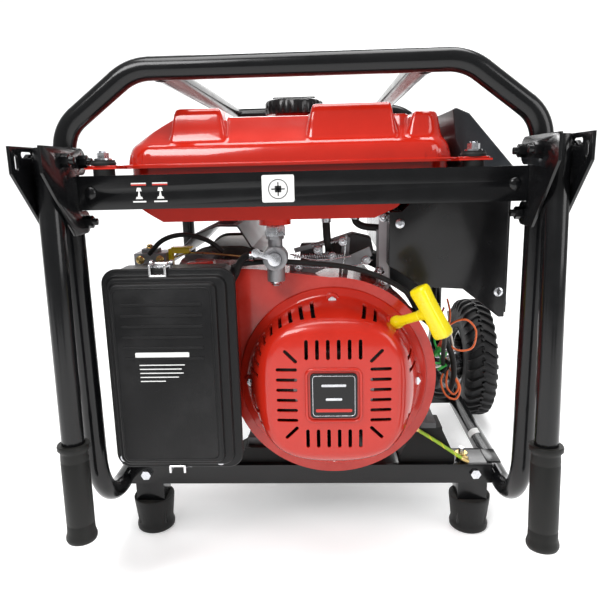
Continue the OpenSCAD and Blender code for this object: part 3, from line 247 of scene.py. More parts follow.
def placed(origin, z_dir, x_dir=None):
    """Matrix whose +Z runs along z_dir from origin; +X is near x_dir."""
    x, y, z = frame_axes(z_dir)
    if x_dir is not None:
        x = (Vector(x_dir) - z * z.dot(Vector(x_dir))).normalized()
        y = z.cross(x)
    return Matrix.Translation(Vector(origin)) @ Matrix((x, y, z)).transposed().to_4x4()


def smooth_path(points, steps=6):
    """Catmull-Rom curve through the points."""
    pts = [Vector(p) for p in points]
    out = []
    for i in range(len(pts) - 1):
        a, b = pts[max(i - 1, 0)], pts[i]
        c, d = pts[i + 1], pts[min(i + 2, len(pts) - 1)]
        for s in range(steps):
            t = s / steps
            out.append(0.5 * (2 * b + (c - a) * t + (2 * a - 5 * b + 4 * c - d) * t * t +
                (3 * b - a - 3 * c + d) * t ** 3))
    return out + [pts[-1]]


def rotation(degrees, axis):
    return Matrix.Rotation(radians(degrees), 4, axis)


class Shape:
    """Collects closed forms, in millimetres, and makes one object of them."""

    def __init__(self):
        self.verts, self.faces = [], []

    def add(self, verts, faces, matrix=None):
        base = len(self.verts)
        self.verts += [matrix @ Vector(v) if matrix else Vector(v) for v in verts]
        self.faces += [[base + i for i in f] for f in faces]
        return self

    def box(self, low, high, matrix=None):
        (x0, y0, z0), (x1, y1, z1) = low, high
        verts = [(x, y, z) for x in (x0, x1) for y in (y0, y1) for z in (z0, z1)]
        return self.add(verts, [(0, 1, 3, 2), (4, 6, 7, 5), (0, 4, 5, 1), (2, 3, 7, 6),
            (0, 2, 6, 4), (1, 5, 7, 3)], matrix)

    def loft(self, rings, matrix=None, closed=False):
        n = len(rings[0])
        verts = [p for ring in rings for p in ring]
        count = len(rings)
        faces = [(r * n + k, r * n + (k + 1) % n, (r + 1) % count * n + (k + 1) % n,
            (r + 1) % count * n + k) for r in range(count if closed else count - 1) for k in
            range(n)]
        if not closed:
            faces += [tuple(range(n)), tuple((count - 1) * n + k for k in range(n))[::-1]]
        return self.add(verts, faces, matrix)

    def lathe(self, profile, matrix=None, n=48, closed=False):
        """profile is (radius, height) pairs; a closed one makes a ring."""
        rings = [[(max(r, 0.02) * cos(tau * k / n), max(r, 0.02) * sin(tau * k / n), h) for k in
            range(n)] for r, h in profile]
        return self.loft(rings, matrix, closed)

    def cyl(self, p, q, r, n=24, r2=None, soft=0.4):
        length = (Vector(q) - Vector(p)).length
        r2 = r if r2 is None else r2
        soft = min(soft, r / 3, r2 / 3, length / 3)
        profile = [(r - soft, 0), (r, soft), (r2, length - soft), (r2 - soft, length)]
        return self.lathe(profile, placed(p, Vector(q) - Vector(p)), n)

    def hexagon(self, p, direction, r, h, turn=0.0):
        m = placed(p, direction) @ Matrix.Rotation(turn, 4, "Z")
        return self.lathe([(r, 0), (r, h * 0.78), (r * 0.88, h)], m, 6)

    def bolt(self, p, direction, r=7.0, h=5.0, turn=0.2):
        """Flanged hexagon head."""
        m = placed(p, direction)
        self.lathe([(r * 1.25, 0), (r * 1.3, 0.5), (r * 1.1, 1.3), (r * 0.8, 1.4)], m, 32)
        self.hexagon(m @ Vector((0, 0, 1.2)), direction, r, h, turn)
        return self.lathe([(r * 0.55, 0), (r * 0.55, 0.4), (r * 0.4, 0.8)],
            placed(m @ Vector((0, 0, h + 0.9)), direction), 24)

    def sweep(self, points, r, n=12, closed=False):
        pts = [Vector(p) for p in points]
        count = len(pts)
        rings, side = [], None
        for i, p in enumerate(pts):
            ahead = pts[(i + 1) % count] if closed else pts[min(i + 1, count - 1)]
            behind = pts[i - 1] if closed or i else pts[0]
            t = (ahead - behind).normalized()
            side = t.orthogonal().normalized() if side is None else (side - t *
                side.dot(t)).normalized()
            other = t.cross(side)
            radius = r(i / (count - 1)) if callable(r) else r
            rings.append([p + radius * (cos(tau * k / n) * side + sin(tau * k / n) * other) for k
                in range(n)])
        return self.loft(rings, None, closed)

    def prism(self, outline, z0, z1, matrix=None):
        return self.loft([[(x, y, z) for x, y in outline] for z in (z0, z1)], matrix)

    def done(self, name, mat, body="frame", bevel=0.0, segments=2, replaces=(), angle=35,
            subdivide=0):
        mesh = bpy.data.meshes.new(name)
        mesh.from_pydata([v * MM for v in self.verts], [], self.faces)
        work = bmesh.new()
        work.from_mesh(mesh)
        bmesh.ops.recalc_face_normals(work, faces=work.faces)
        work.to_mesh(mesh)
        work.free()
        return finish_mesh(name, mesh, mat, body, bevel, segments, replaces, angle, subdivide)


def finish_mesh(name, mesh, mat, body="frame", bevel=0.0, segments=2, replaces=(), angle=35,
        subdivide=0):
    obj = bpy.data.objects.new(name, mesh)
    bpy.context.scene.collection.objects.link(obj)
    mesh.materials.clear()
    mesh.materials.append(M[mat])
    for face in mesh.polygons:
        face.use_smooth = True
    if subdivide:
        mod = obj.modifiers.new("round", "SUBSURF")
        mod.levels = mod.render_levels = subdivide
    elif bevel:
        mod = obj.modifiers.new("edges", "BEVEL")
        mod.width = bevel * MM
        mod.segments = segments
        mod.limit_method = "ANGLE"
        mod.angle_limit = radians(angle)
        mod.harden_normals = True
    else:
        mesh.set_sharp_from_angle(angle=radians(angle))
    if body:
        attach(obj, body)
    if replaces:
        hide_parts(*replaces)
    return obj


def soften(cad, mat, width, segments=2, name=None, body="frame", angle=38):
    """A copy of a CAD node with its sharp edges rounded, standing for that node."""
    work = bmesh.new()
    work.from_mesh(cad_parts[cad].data)
    bmesh.ops.remove_doubles(work, verts=work.verts, dist=2e-6)
    bmesh.ops.dissolve_limit(work, angle_limit=radians(0.6), verts=work.verts, edges=work.edges)
    mesh = bpy.data.meshes.new(name or cad + "_finished")
    work.to_mesh(mesh)
    work.free()
    return finish_mesh(name or cad + "_finished", mesh, mat, body, width, segments, (cad,), angle)


def round_rect(x0, z0, x1, z1, r, n=6):
    out = []
    for cx, cz, start in ((x1 - r, z1 - r, 0), (x0 + r, z1 - r, 90), (x0 + r, z0 + r, 180),
            (x1 - r, z0 + r, 270)):
        for k in range(n + 1):
            a = radians(start + 90 * k / n)
            out.append((cx + r * cos(a), cz + r * sin(a)))
    return out


FRONT = Matrix(((1, 0, 0, 0), (0, 0, -1, 0), (0, 1, 0, 0), (0, 0, 0, 1)))


def facing(y):
    """Matrix that lays an outline in X and Z on the plane y, its height towards -Y."""
    return shift((0, y, 0)) @ FRONT


def right_facing(x):
    """Matrix that lays an outline in Y and Z on the plane x, its height towards +X."""
    return Matrix(((0, 0, 1, x), (1, 0, 0, 0), (0, 1, 0, 0), (0, 0, 0, 1)))


def at_crank(y):
    """Matrix at the crank axis whose +Z points to the viewer's end."""
    return shift((CRANK[0], y, CRANK[1])) @ FRONT


# ---------- materials of the CAD nodes that stay ----------

PAINT = {
    "frame": ("front_hoop", "rear_hoop", "top_rails"),
    "rubber": ("tank_grommets", "engine_mounts"),
    "zinc": ("plated_fasteners", "wheel_axle"),
    "steel": ("crank_rotor", "starter_pulley"),
    "hot": ("muffler",),
    "foam": ("air_filter_element",),
    "tank": ("tank_lower_shell",),
    "engine_red": ("blower_housing",),
    "cast": ("rocker_cover",),
    "chrome": ("upper_filter_latch", "lower_filter_latch"),
}
for mat, members in PAINT.items():
    for member in members:
        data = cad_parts[member].data
        data.materials.clear()
        data.materials.append(M[mat])

SOFTENED = {
    "frame": (("front_tank_rail", 0.8), ("rear_tank_rail", 0.8), ("front_crossmember", 0.8),
              ("rear_crossmember", 0.8), ("left_handle_bracket", 0.5),
              ("right_handle_bracket", 0.5), ("frame_bolts", 0.5)),
    "cast_dark": (("crankcase", 2.0), ("alternator_housing", 1.5)),
    "cast": (("cylinder_block", 0.6), ("carburettor", 1.5), ("fuel_valve_body", 0.8)),
    "guard": (("muffler_guard", 0.6),),
    "grey": (("side_shroud", 0.6), ("panel_cowl", 1.5)),
    "smooth_plastic": (("panel_box", 1.5), ("panel_face", 0.6), ("alternator_end_cover", 1.0)),
    "plastic": (("air_filter_base", 1.2),),
    "rubber": (("rubber_feet", 0.8), ("spark_plug_cap", 0.8)),
}
for mat, members in SOFTENED.items():
    for member, width in members:
        soften(member, mat, width)
for member, mat, width, body in (("engine_switch", "red_plastic", 0.8, "engine_switch"),
        ("breaker_lever", "smooth_plastic", 0.5, "breaker_lever"),
        ("outlet_lid", "plastic", 0.8, "outlet_lid"),
        ("fuel_valve_lever", "zinc", 0.6, "fuel_valve_lever"),
        ("choke_lever", "yellow", 0.6, "choke_lever"),
        ("left_handle_tube", "frame", 0.4, "left_handle"),
        ("right_handle_tube", "frame", 0.4, "right_handle"),
        ("left_rim", "frame", 0.8, "left_wheel"), ("right_rim", "frame", 0.8, "right_wheel")):
    soften(member, mat, width, body=body)


# ---------- recoil starter cover ----------


def squircle(a, power, angle):
    c, s = abs(cos(angle)), abs(sin(angle))
    return a / (c ** power + s ** power) ** (1 / power)


def cover_rings(profile, n=192):
    """Rings that pass from a round rim to a rounded-square face."""
    return [[(squircle(a, p, tau * k / n) * cos(tau * k / n),
        squircle(a, p, tau * k / n) * sin(tau * k / n), h) for k in range(n)] for a, p,
        h in profile]


def recoil_cover():
    outer = [(121.5, 2, 0.2), (121.5, 2, 2.6), (120.6, 2, 4.0), (118.5, 2, 4.8), (114, 2, 5.4),
        (111.4, 2, 6.6), (109.6, 2.02, 9), (108, 2.06, 14), (105.6, 2.14, 22), (102, 2.3, 32),
        (97.5, 2.6, 42), (93, 2.9, 49), (88.5, 3.2, 54.5), (84, 3.5, 58.2), (79.5, 3.7, 60.4),
        (76, 3.8, 61.2), (60, 3.6, 62.4), (44, 3, 63.2), (22, 2.2, 63.8), (0.4, 2, 64)]
    inner = [(max(a - 2.4, 0.3), p, h - 2.4 if h > 6 else 0.2) for a, p, h in outer[::-1]]
    inner = [r for r in inner if r[2] >= 0.2]
    rings = cover_rings(outer + inner)
    shell = Shape()
    shell.loft(rings, at_crank(COVER_Y), closed=True)
    obj = shell.done("recoil_cover_shell", "engine_red", replaces=("recoil_cover",), angle=30)
    cut = Shape()

    def slot_at(x, y, turn, length, width=4.4, low=52, high=72):
        m = (at_crank(COVER_Y) @ shift((x, y, 0)) @ Matrix.Rotation(turn, 4, "Z"))
        half = length / 2 - width / 2
        outline = [(half + width / 2 * cos(radians(a)), width / 2 * sin(radians(a))) for a in
            range(-90, 91, 30)]
        outline += [(-x_, -y_) for x_, y_ in outline]
        cut.prism(outline, low, high, m)

    for i in range(-5, 6, 2):
        step = i * 6.5
        slot_at(step, 57, pi / 2, 25)
        slot_at(step, -57, pi / 2, 25)
        slot_at(57, step, 0, 26)
        slot_at(-57, step, 0, 26)
    for sx in (-1, 1):
        for sy in (-1, 1):
            slot_at(52 * sx, 49 * sy, atan2(sy, sx), 22)
    for a in [104, 112, 120, 128, 136, 144, 152, 160, 168, 68, 60, 24, 15, 340, 331, 322, 313, 196,
            205, 214, 300, 291]:
        m = (at_crank(COVER_Y) @ rotation(a, "Z") @ shift((103, 0, 24)))
        cut.prism(round_rect(-18, -2.5, 14, 2.5, 2.4, 4), -12, 24, m)
    cutter = cut.done("cover_cutter", "engine_red", body=None)
    mod = obj.modifiers.new("slots", "BOOLEAN")
    mod.object = cutter
    mod.solver = "EXACT"
    bpy.context.view_layer.update()
    graph = bpy.context.evaluated_depsgraph_get()
    mesh = bpy.data.meshes.new_from_object(obj.evaluated_get(graph))
    obj.modifiers.clear()
    obj.data = mesh
    mesh.materials.clear()
    mesh.materials.append(M["engine_red"])
    for face in mesh.polygons:
        face.use_smooth = True
    mesh.set_sharp_from_angle(angle=radians(32))
    bpy.data.objects.remove(cutter)

    # Bosses under the bolts, the rolled rim, the badge frame and the rope outlet
    trim = Shape()
    for a in (0, 90, 180, 270):
        m = at_crank(COVER_Y) @ rotation(a, "Z")
        trim.lathe([(9.6, 3), (9.2, 8.5), (8.6, 10.2), (7.6, 10.75), (4.2, 10.75), (4.2, 3)],
            m @ shift((BOLT_CIRCLE, 0, 0)), 40)
    loop = [(8.5 * cos(t), 101 + 14 * sin(t) if sin(t) < 0 else 101 + 7 * sin(t),
        13.5 + (101 - (101 + 14 * min(sin(t), 0))) * 0.9) for t in
        [radians(a) for a in range(-200, 21, 10)]]
    trim.sweep([at_crank(COVER_Y) @ Vector(p) for p in loop], 1.5, 10)
    ridge = round_rect(-33, -33, 33, 33, 8)
    trim.sweep([at_crank(COVER_Y) @ Vector((x, y, 64.0)) for x, y in ridge], 2.0, 10, closed=True)
    m = placed(ROPE_OUT - 16 * PULL_DIR, PULL_DIR)
    trim.lathe([(5, 0), (11, 0), (10.5, 10), (9.6, 15), (8.4, 16), (5, 16)], m, 40, closed=True)
    trim.done("recoil_cover_trim", "engine_red", angle=40)
    seat = Shape()
    seat.lathe([(4.1, 0), (8.0, 0), (8.2, 1.0), (6.5, 1.6), (4.1, 1.6)],
        placed(ROPE_OUT - 1.7 * PULL_DIR, PULL_DIR), 40, closed=True)
    seat.done("rope_bush", "smooth_plastic")

    badge = Shape()
    badge.prism(round_rect(-28.5, -28.5, 28.5, 28.5, 5), 62, 66.4, at_crank(COVER_Y))
    badge.done("badge_plate", "smooth_plastic", bevel=0.9, segments=3, replaces=("emblem_plate",))
    line = Shape()
    outline = round_rect(-25.5, -25.5, 25.5, 25.5, 4)
    line.sweep([at_crank(COVER_Y) @ Vector((x, y, 66.3)) for x, y in outline], 0.45, 8, True)
    for width, y in ((30, 13.5), (20, -4)):
        line.prism(round_rect(-width / 2, y - 1.6, width / 2, y + 1.6, 1.4), 66, 66.9,
            at_crank(COVER_Y))
    line.done("badge_trim", "zinc", bevel=0.2)
    stripe = Shape()
    stripe.prism(round_rect(-22, -20.5, 22, -16.5, 1.5), 66, 66.8, at_crank(COVER_Y))
    stripe.done("badge_stripe", "label_red", bevel=0.2)


recoil_cover()


# ---------- rope handle ----------


def rope_handle():
    m = placed(ROPE_OUT, PULL_DIR, BAR_DIR)
    grip = Shape()
    rings = []
    for x, wide, tall in ((-33, 6.6, 8.6), (-32, 8.4, 10.2), (-28, 9.4, 11.4), (-14, 8.8, 10.6),
            (0, 9.0, 10.4), (14, 8.8, 10.6), (28, 9.4, 11.4), (32, 8.4, 10.2), (33, 6.6, 8.6)):
        rings.append([(x, wide * np.sign(cos(a)) * abs(cos(a)) ** 0.55,
            64 + tall * np.sign(sin(a)) * abs(sin(a)) ** 0.55) for a in
            [tau * k / 40 for k in range(40)]])
    grip.loft(rings, m)
    grip.lathe([(7.6, 0.4), (8.3, 1.2), (8.3, 7), (7.6, 9.5), (6.6, 12), (5.9, 20), (5.7, 38),
        (6.6, 50), (8.4, 56), (8.4, 60)], m, 40)
    grip.lathe([(5.9, 44.9), (6.7, 45.3), (6.7, 46.5), (5.9, 47)], m, 40, closed=True)
    grip.done("rope_handle_grip", "yellow", body="pull_handle", replaces=("pull_handle",),
        angle=50)
    rope = Shape()
    start, end = ROPE_OUT - 20 * PULL_DIR, ROPE_OUT + 30 * PULL_DIR
    steps = 120
    path = [start + (end - start) * (i / steps) for i in range(steps + 1)]
    rope.sweep(path, 2.4, 12)
    obj = rope.done("starter_rope", "rope", body=None)
    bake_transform(obj)


rope_handle()


# ---------- fuel tank ----------


def tank_top():
    step = 2.0
    x0, x1, y0, y1, corner = -209.0, 178.0, -252.0, 312.0, 34.0
    xs = np.arange(x0, x1 + 0.1, step)
    ys = np.arange(y0, y1 + 0.1, step)
    gx, gy = np.meshgrid(xs, ys)
    cx, cy = (x0 + x1) / 2, (y0 + y1) / 2
    hx, hy = (x1 - x0) / 2 - corner, (y1 - y0) / 2 - corner
    qx, qy = np.abs(gx - cx) - hx, np.abs(gy - cy) - hy
    inside = corner - (np.hypot(np.maximum(qx, 0), np.maximum(qy, 0)) +
        np.minimum(np.maximum(qx, qy), 0))

    def ramp(value, points):
        return np.interp(value, [p[0] for p in points], [p[1] for p in points])

    wall = ramp(inside, [(0, 1), (2, 14), (6, 22), (34, 42), (52, 56), (60, 58), (400, 58)])
    across = ramp(gx, [(-209, 1), (-203, 20), (-197, 27), (-156, 56), (-150, 57), (162, 55),
        (170, 50), (174, 22), (178, 1)])
    body = np.minimum(wall, across)
    pads = np.zeros_like(body)
    front_wall = ramp(inside, [(0, 0), (11, 0), (15, 56), (20, 66), (400, 66)])
    for low, high, top in ((-155, -84, 64.5), (6, 114, 67), (122, 169, 54.5)):
        sides = ramp(gx, [(low, 0), (low + 7, top - 3), (low + 11, top), (high - 11, top),
            (high - 7, top - 3), (high, 0)])
        pads = np.maximum(pads, np.minimum(np.minimum(sides, front_wall), top))
    height = np.maximum(body, pads)
    kernel = np.exp(-0.5 * (np.arange(-4, 5) * step / 1.7) ** 2)
    kernel /= kernel.sum()
    pad = np.pad(height, 4, mode="edge")
    pad = np.apply_along_axis(lambda r: np.convolve(r, kernel, "valid"), 1, pad)
    height = np.apply_along_axis(lambda r: np.convolve(r, kernel, "valid"), 0, pad)
    keep = inside > -0.01
    height = np.where(inside < 1.0, np.minimum(height, 1.5), height)
    index = -np.ones(gx.shape, int)
    verts = []
    for j in range(gx.shape[0]):
        for i in range(gx.shape[1]):
            if keep[j, i]:
                index[j, i] = len(verts)
                verts.append((gx[j, i], gy[j, i], SEAM_Z + 0.6 + float(height[j, i])))
    top_faces = [(index[j, i], index[j, i + 1], index[j + 1, i + 1], index[j + 1, i]) for j in
        range(gx.shape[0] - 1) for i in range(gx.shape[1] - 1) if
        min(index[j, i], index[j, i + 1], index[j + 1, i + 1], index[j + 1, i]) >= 0]
    mesh = bpy.data.meshes.new("tank_top_pressing")
    mesh.from_pydata([Vector(v) * MM for v in verts], [], top_faces)
    work = bmesh.new()
    work.from_mesh(mesh)
    rim = [e for e in work.edges if e.is_boundary]
    made = bmesh.ops.extrude_edge_only(work, edges=rim)
    lower = [v for v in made["geom"] if isinstance(v, bmesh.types.BMVert)]
    for v in lower:
        v.co.z = SEAM_Z * MM
    bmesh.ops.contextual_create(work, geom=[e for e in work.edges if e.is_boundary])
    bmesh.ops.recalc_face_normals(work, faces=work.faces)
    work.to_mesh(mesh)
    work.free()
    finish_mesh("tank_top_pressing", mesh, "tank", replaces=("tank_upper_shell",), angle=70)

    flange = Shape()
    flange.prism(round_rect(-219, -254, 188, 314, 36, 10), SEAM_Z, SEAM_Z + 2)
    for ear in (-222, 192):
        flange.prism(round_rect(ear - 17.5, -284, ear + 17.5, -222, 8), SEAM_Z, SEAM_Z + 2.1)
        flange.prism(round_rect(ear - 17.5, 284, ear + 17.5, 344, 8), SEAM_Z, SEAM_Z + 2.1)
    flange.lathe([(27, 560), (30.5, 560), (30.5, 579), (29, 582), (28.8, 593), (27, 594)],
        shift((-15, -40, 0)), 48, closed=True)
    flange.done("tank_flange", "tank", bevel=0.8, angle=50)
    roll = Shape()
    roll.sweep([(x, y, SEAM_Z + 0.4) for x, y in round_rect(-219, -254, 188, 314, 36, 10)], 2.1,
        10, closed=True)
    roll.done("tank_rolled_seam", "tank")


tank_top()


def fuel_cap():
    cap = Shape()
    m = shift((-15, -40, 0))
    n = 144
    rings = []
    for r, z, knurl in ((30.2, 586.3, 0), (40.6, 586.3, 0), (41.2, 587.4, 1), (41.2, 603, 1),
            (40.0, 605.5, 0), (37.5, 607.2, 0), (34, 607.6, 0), (33, 606.6, 0), (16, 606.4, 0),
            (2, 606.2, 0)):
        rings.append([((r + (0.8 if knurl and k % 6 < 3 else 0)) * cos(tau * k / n),
            (r + (0.8 if knurl and k % 6 < 3 else 0)) * sin(tau * k / n), z) for k in range(n)])
    cap.loft(rings, m)
    cap.prism(round_rect(-31, -5.5, 31, 5.5, 4), 605.5, 611.6, m)
    cap.done("fuel_cap_knob", "smooth_plastic", body="fuel_cap", bevel=0.8, segments=3,
        replaces=("fuel_cap",), angle=40)
    gauge = Shape()
    m = shift((60, 150, 0))
    gauge.lathe([(0.5, 583), (19, 583.5), (19, 588), (17.6, 589.9), (15.6, 590), (15, 588.6),
        (0.5, 588.6)], m, 48)
    gauge.done("fuel_gauge_rim", "smooth_plastic", replaces=("fuel_gauge",))
    face = Shape()
    face.lathe([(0.5, 588.5), (14.8, 588.5), (14.8, 589), (0.5, 589.2)], m, 40)
    face.done("fuel_gauge_face", "dial")
    marks = Shape()
    for k in range(7):
        a = radians(30 + 20 * k)
        marks.box((10.5, -0.35, 589), (13.6, 0.35, 589.35), m @ Matrix.Rotation(a, 4, "Z"))
    marks.box((0, -0.5, 589.2), (11, 0.5, 589.6), m @ Matrix.Rotation(1.1, 4, "Z"))
    marks.done("fuel_gauge_marks", "label_red")


fuel_cap()


# ---------- wheels and grips ----------


def wheel_centre(side):
    return (side * WHEEL_X, AXLE_Y, AXLE_Z)


def tyre(side, body):
    shape = Shape()
    m = placed(wheel_centre(side), (1, 0, 0))
    profile = [(53, -23), (56, -25), (58, -27), (66, -27.6), (74, -28.6), (80, -28.6), (84, -29.8),
        (96, -29.6), (104, -27), (109, -23), (112, -17), (113.3, -9), (113.6, 0)]
    profile = profile + [(r, -h) for r, h in profile[-2::-1]]
    shape.lathe(profile + [(52.2, 20), (52.2, -20)], m, 96, closed=True)
    for bead in (62.0, 78.5):
        for s in (-1, 1):
            shape.sweep([m @ Vector((bead * cos(t), bead * sin(t), s * 28.2)) for t in
                [tau * k / 72 for k in range(72)]], 0.7, 6, closed=True)
    lugs = 34
    for s in (-1, 1):
        for k in range(lugs):
            base = tau * (k + (0.5 if s > 0 else 0)) / lugs
            rings = []
            for across, radius, lean, half in ((0.8, 119.2, 0.0, 3.0), (9, 119.5, 0.035, 3.4),
                    (18, 118.4, 0.085, 3.9), (24, 115.8, 0.11, 4.2), (28, 109.5, 0.12, 4.2),
                    (29.6, 99, 0.12, 3.6)):
                a = base + lean
                out = Vector((cos(a), sin(a), 0))
                along = Vector((-sin(a), cos(a), 0))
                depth = 8.5 if radius > 116 else 6.0
                z = Vector((0, 0, s * across))
                low = (radius - depth) * out + z * (1 if across < 27 else 0.93)
                high = radius * out + z
                rings.append([low - half * along, low + half * along, high + half * 0.82 * along,
                    high - half * 0.82 * along])
            shape.loft(rings, m)
    for k in range(lugs * 2):
        a = tau * (k + 0.25) / (lugs * 2)
        shape.box((112, -2.6, -2.4), (118.6, 2.6, 2.4),
            m @ Matrix.Rotation(a, 4, "Z") @ Matrix.Rotation(0.5 if k % 2 else -0.5, 4, "X"))
    shape.done(body + "_tyre_tread", "tyre", body=body, bevel=0.6, segments=1,
        replaces=("left_tyre" if side < 0 else "right_tyre",), angle=50)
    hub = Shape()
    for s in (-1, 1):
        hub.lathe([(8.4, 20), (19, 20), (21, 22), (21, 31.8), (8.4, 31.8)],
            placed(wheel_centre(side), (s, 0, 0)), 40, closed=True)
        for k in range(6):
            a = tau * (k + 0.5) / 6
            p = placed(wheel_centre(side), (s, 0, 0)) @ Vector((40 * cos(a), 40 * sin(a), 2.6))
            hub.lathe([(3.6, 0), (3.6, 1.4), (2.2, 2.6), (0.4, 2.8)], placed(p, (s, 0, 0)), 16)
    hub.done(body + "_hub_sleeve", "zinc", body=body)
    pin = Shape()
    pin.cyl((side * 359.4, AXLE_Y, AXLE_Z + 11), (side * 359.4, AXLE_Y, AXLE_Z - 11), 1.6, 12)
    pin.lathe([(8.3, 0), (14.8, 0), (14.8, 1.2), (8.3, 1.2)],
        placed((side * 358.4, AXLE_Y, AXLE_Z), (-side, 0, 0)), 36, closed=True)
    pin.done(body + "_split_pin", "zinc")


def grip(side, tilt, body, name):
    m = shift((side * POST_X, -320, 524)) @ rotation(-tilt, "X") @ shift((0, 0, -439))
    profile = [(0.4, 0.2), (13.6, 0.2), (16.6, 1.6), (17.8, 4.2), (18.0, 7.0), (16.9, 11),
        (16.2, 14)]
    for z in (22, 100):
        profile += [(16.0, z), (15.6, z + 1.0), (15.6, z + 2.0), (16.0, z + 3.0)]
    profile += [(15.5, 111), (15.9, 113.5), (18.3, 116), (18.4, 120), (17.6, 121.8), (13.1, 121.8),
        (13.1, 110)]
    shape = Shape()
    shape.lathe(profile, m, 64)
    shape.done(name + "_rubber", "grip", body=body, replaces=(name,), angle=50)


tyre(-1, "left_wheel")
tyre(1, "right_wheel")
grip(-1, 2, "left_handle", "left_grip")
grip(1, 4, "right_handle", "right_grip")


# ---------- air filter box ----------


def air_filter():
    left, right, low, high = -236.0, -78.0, 149.0, 400.0
    cover = Shape()
    steps = [(0.0, 0.0, -275.0, 18), (0.0, 0.0, -278.2, 18), (1.2, 1.4, -280.0, 17),
        (5.2, 6.0, -280.4, 14), (6.4, 9.0, -281.2, 13), (7.4, 11.0, -285.2, 12),
        (8.6, 13.4, -286.6, 11), (11.6, 20.0, -287.2, 9), (13.0, 21.6, -291.0, 9),
        (14.4, 23.4, -292.0, 8)]
    rings = []
    for inset, inset_r, y, r in steps:
        rings.append([(x, y, z) for x, z in round_rect(left + inset, low + inset, right - inset_r,
            high - inset * 1.25, r, 8)])
    cover.loft(rings)
    cover.done("air_filter_lid", "plastic", bevel=0.6, segments=2,
        replaces=("air_filter_cover",), angle=30)
    ribs = Shape()
    for k in range(6):
        z = high - 40 - 13 * k
        ribs.prism(round_rect(left + 24, z - 1.6, right - 38, z + 1.6, 1.5, 3), -1.0, 0.9,
            facing(FILTER_FACE_Y))
    ribs.sweep([(x, -291.9, z) for x, z in round_rect(left + 16, low + 17, right - 27, high - 21,
        8, 6)], 0.9, 8, closed=True)
    ribs.done("air_filter_ribs", "plastic", bevel=0.3)
    label = Shape()
    for k, width in enumerate((54, 50, 52, 46, 30)):
        z = 287 - 5.0 * k
        label.prism(round_rect(-194, z - 0.55, -194 + width, z + 0.55, 0.4, 2), 0.0, 0.35,
            facing(FILTER_FACE_Y))
    label.prism(round_rect(-198, 295.5, -134, 302.5, 1.2, 3), 0.0, 0.45, facing(FILTER_FACE_Y))
    label.done("air_filter_label_bars", "label_white")
    screws = Shape()
    for x, z in ((-106, 158), (-226, 163)):
        screws.lathe([(0.4, 0), (5.6, 0), (5.4, 1.6), (3.6, 2.9), (2.4, 3.0), (2.2, 1.6),
            (0.4, 1.6)], placed((x, -279.6, z), (0, -1, 0)), 28)
    screws.done("air_filter_screws", "zinc")
    clips = Shape()
    for x, z, s in LATCHES:
        m = shift((x, -270, z))
        clips.box((-12, -3, -2 * s if s > 0 else -1), (12, 12, 1 * s if s > 0 else 2), m)
        for e in (-12, 12):
            clips.cyl((x + e - 2, -263, z + 4.5 * s), (x + e + 2, -263, z + 4.5 * s), 3.4, 20)
    clips.done("latch_brackets", "zinc", bevel=0.5)
    hooks = Shape()
    for x, z, s in LATCHES:
        hooks.sweep(smooth_path([(x - 8, -281, z - 9 * s), (x - 8, -284.6, z - 12 * s),
            (x, -285.2, z - 13.5 * s), (x + 8, -284.6, z - 12 * s), (x + 8, -281, z - 9 * s)]),
            1.5, 8)
    hooks.done("latch_hooks", "chrome")


air_filter()


# ---------- labels on the rail and frame ----------


def labels():
    white = Shape()
    white.prism(round_rect(-42, 473.5, -6, 503.5, 2, 4), 0.0, 0.35, facing(RAIL_FRONT))
    white.done("valve_label", "label_white")
    dark = Shape()
    ring = [(-24 + 10.5 * cos(t), RAIL_FRONT - 0.4, 488 + 10.5 * sin(t)) for t in
        [tau * k / 40 for k in range(40)]]
    dark.sweep(ring, 0.45, 6, closed=True)
    for x0, z0, x1, z1 in ((-24.6, 480.5, -23.4, 495.5), (-31.5, 487.4, -16.5, 488.6),
            (-27.5, 484.5, -20.5, 491.5)):
        dark.prism([(x0, z0), (x1, z0), (x1, z1), (x0, z1)], 0.0, 0.7, facing(RAIL_FRONT))
    dark.done("valve_label_print", "dark_print_and_shade")
    print_ = Shape()
    for x in (-180, -156):
        for z, w in ((497.5, 17), (477.5, 15)):
            print_.prism([(x - w / 2, z - 0.8), (x + w / 2, z - 0.8), (x + w / 2, z + 0.8),
                (x - w / 2, z + 0.8)], 0.0, 0.3, facing(RAIL_FRONT))
        for z0, z1, w in ((489, 493, 6), (483, 489, 3), (480.5, 483, 8)):
            print_.prism([(x - w / 2, z0), (x + w / 2, z0), (x + w / 2 - 1, z1),
                (x - w / 2 + 1, z1)], 0.0, 0.3, facing(RAIL_FRONT))
    print_.done("choke_label_print", "label_white")
    red = Shape()
    for x in (-180, -156):
        red.prism([(x - 8.5, 495.3), (x + 8.5, 495.3), (x + 8.5, 497), (x - 8.5, 497)], 0.0, 0.3,
            facing(RAIL_FRONT))
    red.done("choke_label_lines", "label_red")
    tag = Shape()
    rings = []
    for y in (-64, -46):
        rings.append([(266 + (12.75 + d) * cos(radians(a)), y, 80.5 + (12.75 + d) * sin(radians(a)))
            for d, angles in ((0.35, range(80, 176, 8)), (0.0, range(168, 72, -8)))
            for a in angles])
    tag.loft(rings)
    tag.done("rail_tag", "label_white")


labels()


# ---------- engine top: valve, hoses, governor, choke ----------


